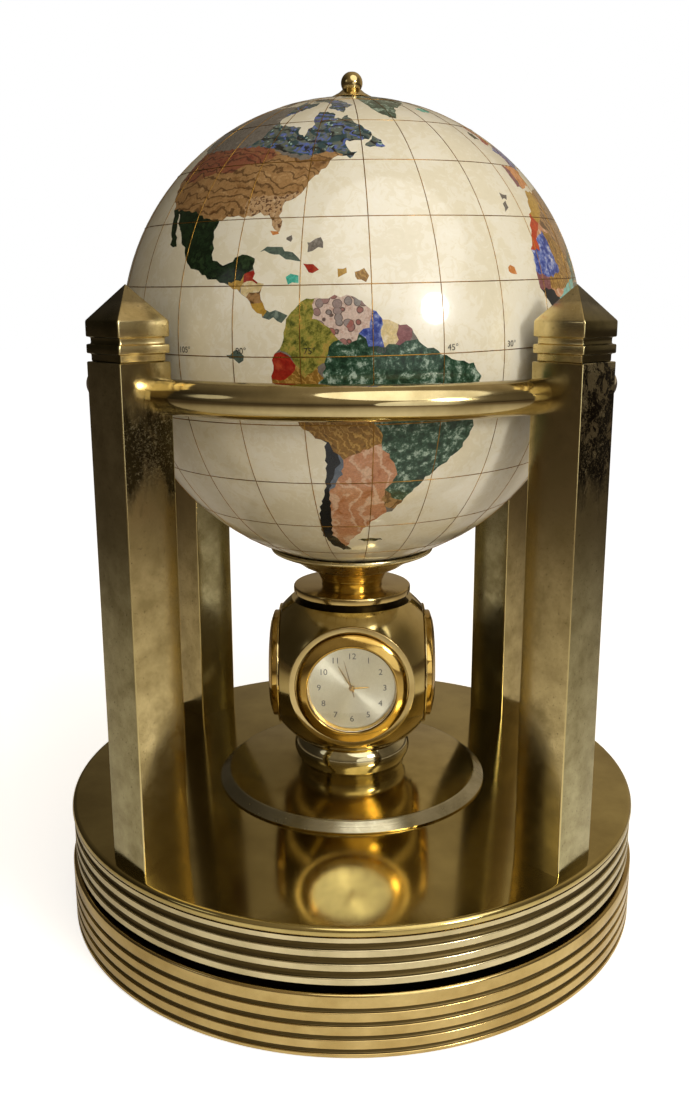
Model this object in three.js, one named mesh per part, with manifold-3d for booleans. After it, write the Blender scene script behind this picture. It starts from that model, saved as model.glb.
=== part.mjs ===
// Globe clock. A pearl globe with flush stone inlay turns on a vertical rod between a brass cup
// and a finial. The rod clamps a stack of turned brass pieces to a round plate: a skirt, a collar,
// a sphere-cut cube that holds a clock, a thermometer and a hygrometer, a disc and a neck. Four
// square columns with pyramid caps stand round the globe and carry a round-section gallery ring.
// The plate and its grooved drum turn on a ball race in a second grooved drum below.
// Millimetres, +Z up, clock facing -Y, origin at the centre of the resting face.
import * as THREE from 'three';
import { mergeVertices } from 'three/addons/utils/BufferGeometryUtils.js';
import Module from 'manifold-3d';

// Clearances, used wherever one piece meets another
const SEAT_GAP = 0.3;
const RUNNING_GAP = 0.5;
const FINE_GAP = 0.2;
const CUT_OVERRUN = 2;

// Facets round a full turn
const WIDE_SEGMENTS = 32;
const MIDDLE_SEGMENTS = 24;
const INSTRUMENT_SEGMENTS = 20;
const SMALL_SEGMENTS = 12;
const TINY_SEGMENTS = 8;

// Globe. Its radius leads: the gallery ring, the columns and the base are set out round it
const GLOBE_RADIUS = 75;
const GLOBE_WALL = 3;
const GLOBE_SEGMENTS = 32;
const GLOBE_ROWS = 8;
const GLOBE_INNER_ROWS = 3;
const BUSH_BARREL_RADIUS = 4.4;
const BUSH_FLANGE_RADIUS = 7;
const BUSH_FLANGE_THICKNESS = 1.5;

// Gallery ring, in four arcs pegged into the columns, a little below the globe's middle
const GALLERY_CLEARANCE = 2;
const GALLERY_TUBE_RADIUS = 5;
const GALLERY_RADIUS = GLOBE_RADIUS + GALLERY_CLEARANCE + GALLERY_TUBE_RADIUS;
const GALLERY_DROP = 13.25;
const GALLERY_SIDES = 8;
const GALLERY_STEPS = 9;
const PEG_RADIUS = 2.4;
const PEG_REACH = 1;

// Columns: square brass tube, faces square to the radius
const COLUMN_COUNT = 4;
const COLUMN_SETBACK = 5.5;
const COLUMN_CENTRE_RADIUS = GALLERY_RADIUS + COLUMN_SETBACK;
const COLUMN_HALF_WIDTH = 8.33;
const COLUMN_WALL = 1.5;
const COLUMN_RISE_PAST_GALLERY = 9.6;

// Column caps, from the joint up
const CAP_SPIGOT_LENGTH = 4;
const CAP_LOWER_GROOVE = 2.2;
const CAP_RIB = 2.6;
const CAP_UPPER_GROOVE = 1.9;
const CAP_BAND = 4.6;
const CAP_GROOVE_DEPTH = 0.9;
const CAP_BAND_ROUNDING = 0.7;
const CAP_PYRAMID_HEIGHT = 9.6;

// Column feet, riveted through the plate
const FOOT_HEIGHT = 11;
const FOOT_STUD_RADIUS = 3;
const FOOT_RIVET_RADIUS = 6;
const FOOT_RIVET_THICKNESS = 2.4;

// Top plate with its rounded bead. It reaches a set distance past the columns' centres
const PLATE_MARGIN = 12.1;
const PLATE_RADIUS = COLUMN_CENTRE_RADIUS + PLATE_MARGIN;
const PLATE_THICKNESS = 3.2;
const PLATE_BEAD_INSET = 1.3;

// Drums under the plate: the upper one just inside its edge, the lower one just outside
const DRUM_WALL = 2.3;
const WEB_THICKNESS = 2;
const DRUM_GAP = 2.1;

// Lower drum, turned with four grooves
const LOWER_DRUM_OVERHANG = 0.7;
const LOWER_DRUM_RADIUS = PLATE_RADIUS + LOWER_DRUM_OVERHANG;
const LOWER_DRUM_LIFT = 0.3;
const LOWER_DRUM_EDGE = 0.8;
const LOWER_GROOVE_COUNT = 4;
const LOWER_GROOVE_WIDTH = 1.5;
const LOWER_GROOVE_DEPTH = 0.8;
const LOWER_FOOT_BAND = 1.45;
const LOWER_BAND = 2.9;
const LOWER_TOP_BAND = 4.35;

// Upper drum, turned with three wider grooves
const UPPER_DRUM_INSET = 0.4;
const UPPER_DRUM_RADIUS = PLATE_RADIUS - UPPER_DRUM_INSET;
const UPPER_GROOVE_COUNT = 3;
const UPPER_GROOVE_WIDTH = 2.2;
const UPPER_GROOVE_DEPTH = 1;
const UPPER_FOOT_BAND = 2.3;
const UPPER_BAND = 2.25;
const UPPER_TOP_BAND = 1.6;

// Resting pad and the board that closes the lower drum, both set in from its wall
const PAD_INSET = 1.5;
const PAD_THICKNESS = 1.2;
const BOARD_INSET = 0.6;
const BOARD_THICKNESS = 5.5;

// Ball race between the drums
const RACE_SETBACK = 29.2;
const RACE_RADIUS = UPPER_DRUM_RADIUS - RACE_SETBACK;
const RACE_HALF_WIDTH = 10;
const LOWER_RACE_THICKNESS = 2.4;
const UPPER_RACE_THICKNESS = 2.7;
const RACE_TRACK_HALF_WIDTH = 2.4;
const RACE_TRACK_FLOOR_HALF_WIDTH = 1.4;
const RACE_TRACK_DEPTH = 0.9;
const BALL_RADIUS = 2.5;
const BALL_COUNT = 8;
const BALL_SIDES = 6;
const BALL_ROWS = 4;
const CAGE_HALF_WIDTH = 4.5;
const CAGE_THICKNESS = 1.2;

// Centre rivet that keeps the drums together
const RIVET_RADIUS = 4;
const RIVET_HEAD_RADIUS = 9;
const RIVET_HEAD_THICKNESS = 3;

// Rod and nut that clamp the middle stack
const ROD_RADIUS = 3;
const ROD_NUT_RADIUS = 7;
const ROD_NUT_THICKNESS = 5;
const NUT_SIDES = 6;
const ROD_TAIL = 1.5;

// Clock cube: a cube turned down to a sphere that leaves a round flat on every face
const CUBE_HALF = 24.7;
const CUBE_SHOULDER = 3.424;
const CUBE_FLAT_RADIUS = CUBE_HALF - CUBE_SHOULDER;
const CUBE_SPHERE_RADIUS = Math.hypot(CUBE_HALF, CUBE_FLAT_RADIUS);
const CUBE_WALL = 3.7;
const CUBE_SPHERE_SEGMENTS = 24;
const CUBE_SPHERE_ROWS = 12;

// Pedestal collar, on the cube's lower flat
const COLLAR_HEIGHT = 11;
const COLLAR_SETBACK = 1.376;
const COLLAR_WAIST_RADIUS = CUBE_FLAT_RADIUS - COLLAR_SETBACK;
const COLLAR_BULGE = 0.9;
const COLLAR_SEAT_RADIUS = COLLAR_WAIST_RADIUS - COLLAR_BULGE;

// Pedestal skirt
const SKIRT_REACH = 27.9;
const SKIRT_FOOT_RADIUS = COLLAR_WAIST_RADIUS + SKIRT_REACH;
const SKIRT_BEVEL = 3.2;
const SKIRT_SHOULDER_RADIUS = SKIRT_FOOT_RADIUS - SKIRT_BEVEL;
const SKIRT_SHOULDER_RISE = 3.3;
const SKIRT_CENTRE_RISE = 6.2;
const SKIRT_FOOT_EDGE = 0.6;
const SKIRT_FOOT_WIDTH = 5;
const SKIRT_WALL = 1.6;
const SKIRT_HUB_RADIUS = 9;
const SKIRT_FILLET = 0.8;

// Disc and neck between the cube and the cup
const DISC_SETBACK = 0.776;
const DISC_RADIUS = CUBE_FLAT_RADIUS - DISC_SETBACK;
const DISC_OVERHANG = 1.9;
const DISC_SEAT_RADIUS = DISC_RADIUS - DISC_OVERHANG;
const DISC_SEAT_THICKNESS = 2.2;
const DISC_THICKNESS = 2.4;
const DISC_EDGE = 0.7;
const NECK_FOOT_RADIUS = 10.6;
const NECK_HEIGHT = 5.8;
const NECK_TOP_RADIUS = 12.9;
const NECK_RIB_COUNT = 2;
const NECK_RIB_PITCH = 1.4;
const NECK_RIB_DEPTH = 0.35;
const NECK_PLAIN_HEIGHT = 2.3;

// Cup that the globe stands in, and how far its floor holds the globe above the neck
const CUP_RIM_RADIUS = 28.2;
const CUP_RIM_THICKNESS = 0.9;
const CUP_FLOOR_RADIUS = 9;
const CUP_FLARE_REACH = 6.1;
const CUP_FLARE_RADIUS = NECK_TOP_RADIUS + CUP_FLARE_REACH;
const CUP_ROWS = 3;
const GLOBE_LIFT = 3.95;

// Finial: a cone skirt, a collar and a ball
const FINIAL_FOOT_RADIUS = 6.8;
const FINIAL_CONE_HEIGHT = 2.7;
const FINIAL_COLLAR_RADIUS = 2.9;
const FINIAL_BALL_RADIUS = 3.45;
const FINIAL_FLAT_RADIUS = 1.3;
const FINIAL_BALL_ROWS = 5;

// Instruments, measured outward from the cube's face. The bezel keeps a set distance from the edge
const BEZEL_SETBACK = 5.9;
const BEZEL_RADIUS = CUBE_HALF - BEZEL_SETBACK;
const BEZEL_EDGE_HEIGHT = 2.7;
const BEZEL_EDGE_BREAK = 0.4;
const BEZEL_LIP_HEIGHT = 4;
const BEZEL_SLOPE_WIDTH = 3.5;
const BEZEL_LIP_RADIUS = BEZEL_RADIUS - BEZEL_SLOPE_WIDTH;
const LENS_INSET = 0.5;
const LENS_RADIUS = BEZEL_LIP_RADIUS - LENS_INSET;
const LENS_SEAT_HEIGHT = 2.4;
const LENS_THICKNESS = 0.8;
const LENS_DOME = 0.4;
const REHAUT_WIDTH = 1.5;
const REHAUT_RADIUS = LENS_RADIUS - REHAUT_WIDTH;
const REHAUT_LEDGE = 1.1;
const DIAL_LAP = 0.5;
const DIAL_RADIUS = BEZEL_LIP_RADIUS + DIAL_LAP;
const DIAL_THICKNESS = 0.5;
const CASE_SETBACK = 2.4;
const CASE_RADIUS = BEZEL_RADIUS - CASE_SETBACK;
const CASE_BACK_INSET = 2.9;
const CASE_BACK_RADIUS = CASE_RADIUS - CASE_BACK_INSET;
const CASE_BACK_STEP = 2.5;
const CLOCK_CASE_DEPTH = 12;
const METER_CASE_DEPTH = 6.5;
const GASKET_THICKNESS = 0.6;
const GASKET_WIDTH = 3;
const GASKET_INSET = 2.5;

// Turned ring round each instrument
const RING_WALL = 2.1;
const RING_HEIGHT = 0.9;
const RING_ROUNDING = 0.25;

// Hands. Their lengths are shares of the opening that shows the dial
const HAND_THICKNESS = 0.2;
const HAND_STEP = 0.3;
const HOUR_REACH_SHARE = 0.4436;
const HOUR_HAND_WIDTH = 0.8;
const MINUTE_REACH_SHARE = 0.7068;
const MINUTE_HAND_WIDTH = 0.6;
const SECOND_REACH_SHARE = 0.782;
const SECOND_TAIL_SHARE = 0.2105;
const SECOND_HAND_WIDTH = 0.32;
const POINTER_REACH_SHARE = 0.812;
const POINTER_TAIL_SHARE = 0.2406;
const POINTER_WIDTH = 0.6;
const SECOND_ARBOR_RADIUS = 0.35;
const ARBOR_WALL = 0.35;
const HUB_LAP = 0.35;
const ARBOR_REACH = 3;

// Where the hands stand, in turns of the clock face from twelve
const HOUR_SHARE = 0.243;
const MINUTE_SHARE = 0.9167;
const SECOND_SHARE = 0.9583;
const THERMOMETER_SHARE = 0.03;
const HYGROMETER_SHARE = 0.96;

// Setting knob on the back of the movement
const KNOB_RADIUS = 3;
const KNOB_HEIGHT = 3;
const KNOB_EDGE_MARGIN = 2;
const KNOB_STEM_RADIUS = 1.1;
const KNOB_STEM_LENGTH = 2;

const FULL_TURN = 2 * Math.PI;
const QUARTER_TURN = FULL_TURN / 4;
const EIGHTH_TURN = FULL_TURN / 8;

// Heights, from the resting face up
const BOARD_BOTTOM = PAD_THICKNESS;
const BOARD_TOP = BOARD_BOTTOM + BOARD_THICKNESS;
const LOWER_DRUM_TOP = LOWER_DRUM_LIFT + LOWER_FOOT_BAND + LOWER_GROOVE_COUNT * LOWER_GROOVE_WIDTH
  + (LOWER_GROOVE_COUNT - 1) * LOWER_BAND + LOWER_TOP_BAND;
const UPPER_DRUM_BOTTOM = LOWER_DRUM_TOP + DRUM_GAP;
const UPPER_WEB_TOP = UPPER_DRUM_BOTTOM + WEB_THICKNESS;
const UPPER_RACE_BOTTOM = UPPER_DRUM_BOTTOM - UPPER_RACE_THICKNESS;
const BALL_HEIGHT = UPPER_RACE_BOTTOM + RACE_TRACK_DEPTH - SEAT_GAP - BALL_RADIUS;
const LOWER_RACE_TOP = BALL_HEIGHT - BALL_RADIUS - SEAT_GAP + RACE_TRACK_DEPTH;
const LOWER_WEB_TOP = LOWER_RACE_TOP - LOWER_RACE_THICKNESS;
const LOWER_WEB_BOTTOM = LOWER_WEB_TOP - WEB_THICKNESS;
const PLATE_BOTTOM = UPPER_DRUM_BOTTOM + UPPER_FOOT_BAND + UPPER_GROOVE_COUNT * UPPER_GROOVE_WIDTH
  + (UPPER_GROOVE_COUNT - 1) * UPPER_BAND + UPPER_TOP_BAND;
const PLATE_TOP = PLATE_BOTTOM + PLATE_THICKNESS;
const SKIRT_TOP = PLATE_TOP + SKIRT_CENTRE_RISE;
const CUBE_BOTTOM = SKIRT_TOP + COLLAR_HEIGHT;
const CUBE_CENTRE_HEIGHT = CUBE_BOTTOM + CUBE_HALF;
const CUBE_TOP = CUBE_CENTRE_HEIGHT + CUBE_HALF;
const DISC_BOTTOM = CUBE_TOP + DISC_SEAT_THICKNESS;
const DISC_TOP = DISC_BOTTOM + DISC_THICKNESS;
const NECK_TOP = DISC_TOP + NECK_HEIGHT;
const GLOBE_BOTTOM = NECK_TOP + GLOBE_LIFT;
const GLOBE_CENTRE_HEIGHT = GLOBE_BOTTOM + GLOBE_RADIUS;
const GLOBE_TOP = GLOBE_CENTRE_HEIGHT + GLOBE_RADIUS;
const FINIAL_BOTTOM = GLOBE_TOP + SEAT_GAP;
const FINIAL_CONE_TOP = FINIAL_BOTTOM + FINIAL_CONE_HEIGHT;
const GALLERY_HEIGHT = GLOBE_CENTRE_HEIGHT - GALLERY_DROP;
const COLUMN_TOP = GALLERY_HEIGHT + COLUMN_RISE_PAST_GALLERY;

// Radii that follow from those above
const LOWER_BORE = LOWER_DRUM_RADIUS - DRUM_WALL;
const UPPER_BORE = UPPER_DRUM_RADIUS - DRUM_WALL;
const PAD_RADIUS = LOWER_BORE - PAD_INSET;
const BOARD_RADIUS = LOWER_BORE - BOARD_INSET;
const RACE_INNER = RACE_RADIUS - RACE_HALF_WIDTH;
const RACE_OUTER = RACE_RADIUS + RACE_HALF_WIDTH;
const ROD_BORE = ROD_RADIUS + SEAT_GAP;
const COLUMN_BORE_HALF = COLUMN_HALF_WIDTH - COLUMN_WALL;
const COLUMN_PLUG_HALF = COLUMN_BORE_HALF - SEAT_GAP;
const GLOBE_BORE = GLOBE_RADIUS - GLOBE_WALL;
const BUSH_HOLE = BUSH_BARREL_RADIUS + SEAT_GAP;
const BUSH_BORE = ROD_RADIUS + RUNNING_GAP;
const CUP_INNER_RADIUS = GLOBE_RADIUS + RUNNING_GAP;
const RING_BORE = BEZEL_RADIUS + SEAT_GAP;
const RING_OUTER_RADIUS = RING_BORE + RING_WALL;
const INSTRUMENT_BORE = CASE_RADIUS + SEAT_GAP + GASKET_THICKNESS + SEAT_GAP;
const KNOB_OFFSET = CASE_BACK_RADIUS - KNOB_RADIUS - KNOB_EDGE_MARGIN;
const HOUR_HAND_LENGTH = REHAUT_RADIUS * HOUR_REACH_SHARE;
const MINUTE_HAND_LENGTH = REHAUT_RADIUS * MINUTE_REACH_SHARE;
const SECOND_HAND_LENGTH = REHAUT_RADIUS * SECOND_REACH_SHARE;
const SECOND_HAND_TAIL = REHAUT_RADIUS * SECOND_TAIL_SHARE;
const POINTER_LENGTH = REHAUT_RADIUS * POINTER_REACH_SHARE;
const POINTER_TAIL = REHAUT_RADIUS * POINTER_TAIL_SHARE;
const DIAL_BACK = FINE_GAP;
const DIAL_FACE = DIAL_BACK + DIAL_THICKNESS;
const HOUR_LEVEL = DIAL_FACE + HAND_STEP;
const MINUTE_LEVEL = HOUR_LEVEL + HAND_THICKNESS + HAND_STEP;
const SECOND_LEVEL = MINUTE_LEVEL + HAND_THICKNESS + HAND_STEP;
const MINUTE_ARBOR_BORE = SECOND_ARBOR_RADIUS + FINE_GAP;
const MINUTE_ARBOR_RADIUS = MINUTE_ARBOR_BORE + ARBOR_WALL;
const HOUR_ARBOR_BORE = MINUTE_ARBOR_RADIUS + FINE_GAP;
const HOUR_ARBOR_RADIUS = HOUR_ARBOR_BORE + ARBOR_WALL;
const DIAL_HOLE = HOUR_ARBOR_RADIUS + FINE_GAP;

// Finishes
const finish = (color, roughness, metalness) => new THREE.MeshStandardMaterial({ color, roughness, metalness });
const FINISHES = {
  paleBrass: finish('#b3a473', 0.22, 1),
  goldBrass: finish('#c9a85c', 0.3, 1),
  warmBrass: finish('#c08f3c', 0.25, 1),
  steel: finish('#9a9a96', 0.4, 1),
  pearl: finish('#ece4cf', 0.15, 0),
  silverDial: finish('#d8d2bd', 0.4, 0.6),
  glass: finish('#f4f6f4', 0.03, 0),
  rubber: finish('#22201e', 0.8, 0),
  felt: finish('#2c4a34', 0.95, 0),
  board: finish('#8a6a45', 0.8, 0),
  plastic: finish('#2b2b2d', 0.6, 0),
};

const wasm = await Module();
wasm.setup();

// A closed mesh as a solid that can be joined and cut
function solidFrom(geometry) {
  const bare = geometry.clone();
  bare.deleteAttribute('normal');
  bare.deleteAttribute('uv');
  const merged = mergeVertices(bare, FINE_GAP / 1000);
  const vertProperties = new Float32Array(merged.attributes.position.array);
  const triVerts = new Uint32Array(merged.index.array);
  return new wasm.Manifold(new wasm.Mesh({ numProp: 3, vertProperties, triVerts }));
}

// The joined or cut solid as a mesh again
function geometryFrom(solid) {
  const mesh = solid.getMesh();
  const geometry = new THREE.BufferGeometry();
  geometry.setAttribute('position', new THREE.BufferAttribute(new Float32Array(mesh.vertProperties), 3));
  geometry.setIndex(new THREE.BufferAttribute(new Uint32Array(mesh.triVerts), 1));
  geometry.computeVertexNormals();
  return geometry;
}

// A turned shape about +Z from [radius, height] points that run up the outside
function turned(profile, segments) {
  const points = profile.map(([radius, height]) => new THREE.Vector2(radius, height));
  const onAxis = points[0].x === 0 && points[points.length - 1].x === 0;
  if (!onAxis) points.push(points[0].clone());
  const geometry = new THREE.LatheGeometry(points, segments);
  geometry.rotateX(QUARTER_TURN);
  return geometry;
}

// A square turned shape: the radii are half widths, the faces square to X and Y
function squareTurned(profile) {
  const corners = profile.map(([half, height]) => [half * Math.SQRT2, height]);
  const geometry = turned(corners, COLUMN_COUNT);
  geometry.rotateZ(EIGHTH_TURN);
  return geometry;
}

// An upright round bar
function bar(radius, from, to, segments) {
  return turned([[0, from], [radius, from], [radius, to], [0, to]], segments);
}

// Points of an arc of a circle in the profile plane, both ends included
function arcPoints(radius, centreHeight, fromAngle, toAngle, rows) {
  const points = [];
  for (let row = 0; row <= rows; row += 1) {
    const angle = fromAngle + ((toAngle - fromAngle) * row) / rows;
    points.push([radius * Math.cos(angle), centreHeight + radius * Math.sin(angle)]);
  }
  return points;
}

// Grooves turned into a drum wall, listed from the bottom up
const GROOVE_HEIGHT_SHARES = [0, 0.5, 1];
const GROOVE_DEPTH_SHARES = [0, 1, 0];
function groovedWall(radius, top, topBand, band, width, depth, count) {
  const points = [];
  for (let groove = count - 1; groove >= 0; groove -= 1) {
    const grooveBottom = top - topBand - groove * (band + width) - width;
    GROOVE_HEIGHT_SHARES.forEach((share, index) => {
      points.push([radius - depth * GROOVE_DEPTH_SHARES[index], grooveBottom + width * share]);
    });
  }
  return points;
}

function mesh(name, geometry, material) {
  const made = new THREE.Mesh(geometry, material);
  made.name = name;
  return made;
}

const globeClock = new THREE.Group();
globeClock.name = 'globe_clock';

// Lower drum with its web, the board that closes it and the pad that it rests on
globeClock.add(mesh('base_pad', bar(PAD_RADIUS, 0, PAD_THICKNESS, WIDE_SEGMENTS), FINISHES.felt));
globeClock.add(mesh('base_board', bar(BOARD_RADIUS, BOARD_BOTTOM, BOARD_TOP, MIDDLE_SEGMENTS), FINISHES.board));

const lowerDrumProfile = [
  [LOWER_BORE, LOWER_DRUM_LIFT],
  [LOWER_DRUM_RADIUS, LOWER_DRUM_LIFT],
  ...groovedWall(LOWER_DRUM_RADIUS, LOWER_DRUM_TOP, LOWER_TOP_BAND, LOWER_BAND,
    LOWER_GROOVE_WIDTH, LOWER_GROOVE_DEPTH, LOWER_GROOVE_COUNT),
  [LOWER_DRUM_RADIUS, LOWER_DRUM_TOP - LOWER_DRUM_EDGE],
  [LOWER_DRUM_RADIUS - LOWER_DRUM_EDGE, LOWER_DRUM_TOP],
  [LOWER_BORE, LOWER_DRUM_TOP],
  [LOWER_BORE, LOWER_WEB_TOP],
  [RIVET_RADIUS + RUNNING_GAP, LOWER_WEB_TOP],
  [RIVET_RADIUS + RUNNING_GAP, LOWER_WEB_BOTTOM],
  [LOWER_BORE, LOWER_WEB_BOTTOM],
];
globeClock.add(mesh('lower_drum', turned(lowerDrumProfile, WIDE_SEGMENTS), FINISHES.goldBrass));

// Ball race: a pressed track below, a pressed track above, and a cage that spaces the balls
const lowerTrack = [
  [RACE_INNER, LOWER_WEB_TOP],
  [RACE_OUTER, LOWER_WEB_TOP],
  [RACE_OUTER, LOWER_RACE_TOP],
  [RACE_RADIUS + RACE_TRACK_HALF_WIDTH, LOWER_RACE_TOP],
  [RACE_RADIUS + RACE_TRACK_FLOOR_HALF_WIDTH, LOWER_RACE_TOP - RACE_TRACK_DEPTH],
  [RACE_RADIUS - RACE_TRACK_FLOOR_HALF_WIDTH, LOWER_RACE_TOP - RACE_TRACK_DEPTH],
  [RACE_RADIUS - RACE_TRACK_HALF_WIDTH, LOWER_RACE_TOP],
  [RACE_INNER, LOWER_RACE_TOP],
];
globeClock.add(mesh('lower_race', turned(lowerTrack, INSTRUMENT_SEGMENTS), FINISHES.steel));

const upperTrack = [
  [RACE_INNER, UPPER_RACE_BOTTOM],
  [RACE_RADIUS - RACE_TRACK_HALF_WIDTH, UPPER_RACE_BOTTOM],
  [RACE_RADIUS - RACE_TRACK_FLOOR_HALF_WIDTH, UPPER_RACE_BOTTOM + RACE_TRACK_DEPTH],
  [RACE_RADIUS + RACE_TRACK_FLOOR_HALF_WIDTH, UPPER_RACE_BOTTOM + RACE_TRACK_DEPTH],
  [RACE_RADIUS + RACE_TRACK_HALF_WIDTH, UPPER_RACE_BOTTOM],
  [RACE_OUTER, UPPER_RACE_BOTTOM],
  [RACE_OUTER, UPPER_DRUM_BOTTOM],
  [RACE_INNER, UPPER_DRUM_BOTTOM],
];
globeClock.add(mesh('upper_race', turned(upperTrack, INSTRUMENT_SEGMENTS), FINISHES.steel));

let cage = solidFrom(turned([
  [RACE_RADIUS - CAGE_HALF_WIDTH, BALL_HEIGHT - CAGE_THICKNESS / 2],
  [RACE_RADIUS + CAGE_HALF_WIDTH, BALL_HEIGHT - CAGE_THICKNESS / 2],
  [RACE_RADIUS + CAGE_HALF_WIDTH, BALL_HEIGHT + CAGE_THICKNESS / 2],
  [RACE_RADIUS - CAGE_HALF_WIDTH, BALL_HEIGHT + CAGE_THICKNESS / 2],
], INSTRUMENT_SEGMENTS));
for (let ball = 0; ball < BALL_COUNT; ball += 1) {
  const angle = (ball * FULL_TURN) / BALL_COUNT;
  const sphere = new THREE.SphereGeometry(BALL_RADIUS, BALL_SIDES, BALL_ROWS);
  sphere.rotateX(QUARTER_TURN);
  sphere.translate(RACE_RADIUS * Math.cos(angle), RACE_RADIUS * Math.sin(angle), BALL_HEIGHT);
  cage = cage.add(solidFrom(sphere));
}
globeClock.add(mesh('ball_cage', geometryFrom(cage), FINISHES.steel));

const rivetProfile = [
  [0, LOWER_WEB_BOTTOM - SEAT_GAP - RIVET_HEAD_THICKNESS],
  [RIVET_HEAD_RADIUS, LOWER_WEB_BOTTOM - SEAT_GAP - RIVET_HEAD_THICKNESS],
  [RIVET_HEAD_RADIUS, LOWER_WEB_BOTTOM - SEAT_GAP],
  [RIVET_RADIUS, LOWER_WEB_BOTTOM - SEAT_GAP],
  [RIVET_RADIUS, UPPER_WEB_TOP],
  [RIVET_HEAD_RADIUS, UPPER_WEB_TOP],
  [RIVET_HEAD_RADIUS, UPPER_WEB_TOP + RIVET_HEAD_THICKNESS],
  [0, UPPER_WEB_TOP + RIVET_HEAD_THICKNESS],
];
globeClock.add(mesh('centre_rivet', turned(rivetProfile, SMALL_SEGMENTS), FINISHES.steel));

// Upper drum and top plate
const upperDrumProfile = [
  [RIVET_RADIUS + SEAT_GAP, UPPER_DRUM_BOTTOM],
  [UPPER_DRUM_RADIUS, UPPER_DRUM_BOTTOM],
  ...groovedWall(UPPER_DRUM_RADIUS, PLATE_BOTTOM, UPPER_TOP_BAND, UPPER_BAND,
    UPPER_GROOVE_WIDTH, UPPER_GROOVE_DEPTH, UPPER_GROOVE_COUNT),
  [UPPER_DRUM_RADIUS, PLATE_BOTTOM],
  [UPPER_BORE, PLATE_BOTTOM],
  [UPPER_BORE, UPPER_WEB_TOP],
  [RIVET_RADIUS + SEAT_GAP, UPPER_WEB_TOP],
];
globeClock.add(mesh('upper_drum', turned(upperDrumProfile, WIDE_SEGMENTS), FINISHES.paleBrass));

const PLATE_BEAD_HEIGHT_SHARES = [0.14, 0.42, 0.76];
const PLATE_BEAD_INSET_SHARES = [0.12, 0, 0.3];
const plateThickness = PLATE_TOP - PLATE_BOTTOM;
const plateProfile = [
  [ROD_BORE, PLATE_BOTTOM],
  [PLATE_RADIUS - PLATE_BEAD_INSET / 2, PLATE_BOTTOM],
  ...PLATE_BEAD_HEIGHT_SHARES.map((share, index) => [
    PLATE_RADIUS - PLATE_BEAD_INSET * PLATE_BEAD_INSET_SHARES[index],
    PLATE_BOTTOM + plateThickness * share,
  ]),
  [PLATE_RADIUS - PLATE_BEAD_INSET, PLATE_TOP],
  [ROD_BORE, PLATE_TOP],
];
let plate = solidFrom(turned(plateProfile, WIDE_SEGMENTS));
for (let column = 0; column < COLUMN_COUNT; column += 1) {
  const angle = EIGHTH_TURN + column * QUARTER_TURN;
  const hole = bar(FOOT_STUD_RADIUS + SEAT_GAP, PLATE_BOTTOM - CUT_OVERRUN, PLATE_TOP + CUT_OVERRUN, SMALL_SEGMENTS);
  hole.translate(COLUMN_CENTRE_RADIUS * Math.cos(angle), COLUMN_CENTRE_RADIUS * Math.sin(angle), 0);
  plate = plate.subtract(solidFrom(hole));
}
globeClock.add(mesh('top_plate', geometryFrom(plate), FINISHES.paleBrass));

// One arc of the gallery ring, in the bay in front of the clock. The columns' cheeks trim its ends
// square, and a peg at each end enters the column's wall.
class LevelArc extends THREE.Curve {
  constructor(radius, height, fromAngle, toAngle) {
    super();
    this.radius = radius;
    this.height = height;
    this.fromAngle = fromAngle;
    this.toAngle = toAngle;
  }

  getPoint(share, target = new THREE.Vector3()) {
    const angle = this.fromAngle + (this.toAngle - this.fromAngle) * share;
    return target.set(this.radius * Math.cos(angle), this.radius * Math.sin(angle), this.height);
  }
}

function roundSection(radius, sides) {
  const section = new THREE.Shape();
  for (let side = 0; side < sides; side += 1) {
    const angle = ((side + 1 / 2) * FULL_TURN) / sides;
    const x = radius * Math.cos(angle);
    const y = radius * Math.sin(angle);
    if (side === 0) section.moveTo(x, y);
    else section.lineTo(x, y);
  }
  section.closePath();
  return section;
}

// A bar that lies across a column through the ring's end, in the column's own frame
const pegDistance = Math.sqrt(GALLERY_RADIUS ** 2 - COLUMN_HALF_WIDTH ** 2);
function crossBar(radius, from, to) {
  const crossing = bar(radius, from, to, TINY_SEGMENTS);
  crossing.rotateX(-QUARTER_TURN);
  crossing.translate(pegDistance, 0, GALLERY_HEIGHT);
  return crossing;
}

function galleryArc() {
  const path = new LevelArc(GALLERY_RADIUS, GALLERY_HEIGHT, -3 * EIGHTH_TURN, -EIGHTH_TURN);
  const tube = new THREE.ExtrudeGeometry(roundSection(GALLERY_TUBE_RADIUS, GALLERY_SIDES), {
    steps: GALLERY_STEPS,
    extrudePath: path,
  });
  let arc = solidFrom(tube);
  const cheek = COLUMN_HALF_WIDTH + SEAT_GAP;
  const reach = GALLERY_RADIUS;
  [-1, 1].forEach((side) => {
    const columnAngle = -QUARTER_TURN + side * EIGHTH_TURN;
    const trimHeight = 2 * (GALLERY_TUBE_RADIUS + CUT_OVERRUN);
    const trim = new THREE.BoxGeometry(reach, 2 * cheek, trimHeight);
    trim.translate(GALLERY_RADIUS, 0, GALLERY_HEIGHT);
    trim.rotateZ(columnAngle);
    arc = arc.subtract(solidFrom(trim));
    const inner = COLUMN_BORE_HALF - PEG_REACH;
    const outer = cheek + GALLERY_TUBE_RADIUS;
    const peg = side < 0 ? crossBar(PEG_RADIUS, inner, outer) : crossBar(PEG_RADIUS, -outer, -inner);
    peg.rotateZ(columnAngle);
    arc = arc.add(solidFrom(peg));
  });
  return geometryFrom(arc);
}

const bayNames = ['front', 'right', 'rear', 'left'];
bayNames.forEach((bay, index) => {
  const turnedBay = new THREE.Group();
  turnedBay.rotation.z = index * QUARTER_TURN;
  turnedBay.add(mesh(`gallery_arc_${bay}`, galleryArc(), FINISHES.paleBrass));
  globeClock.add(turnedBay);
});

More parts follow.
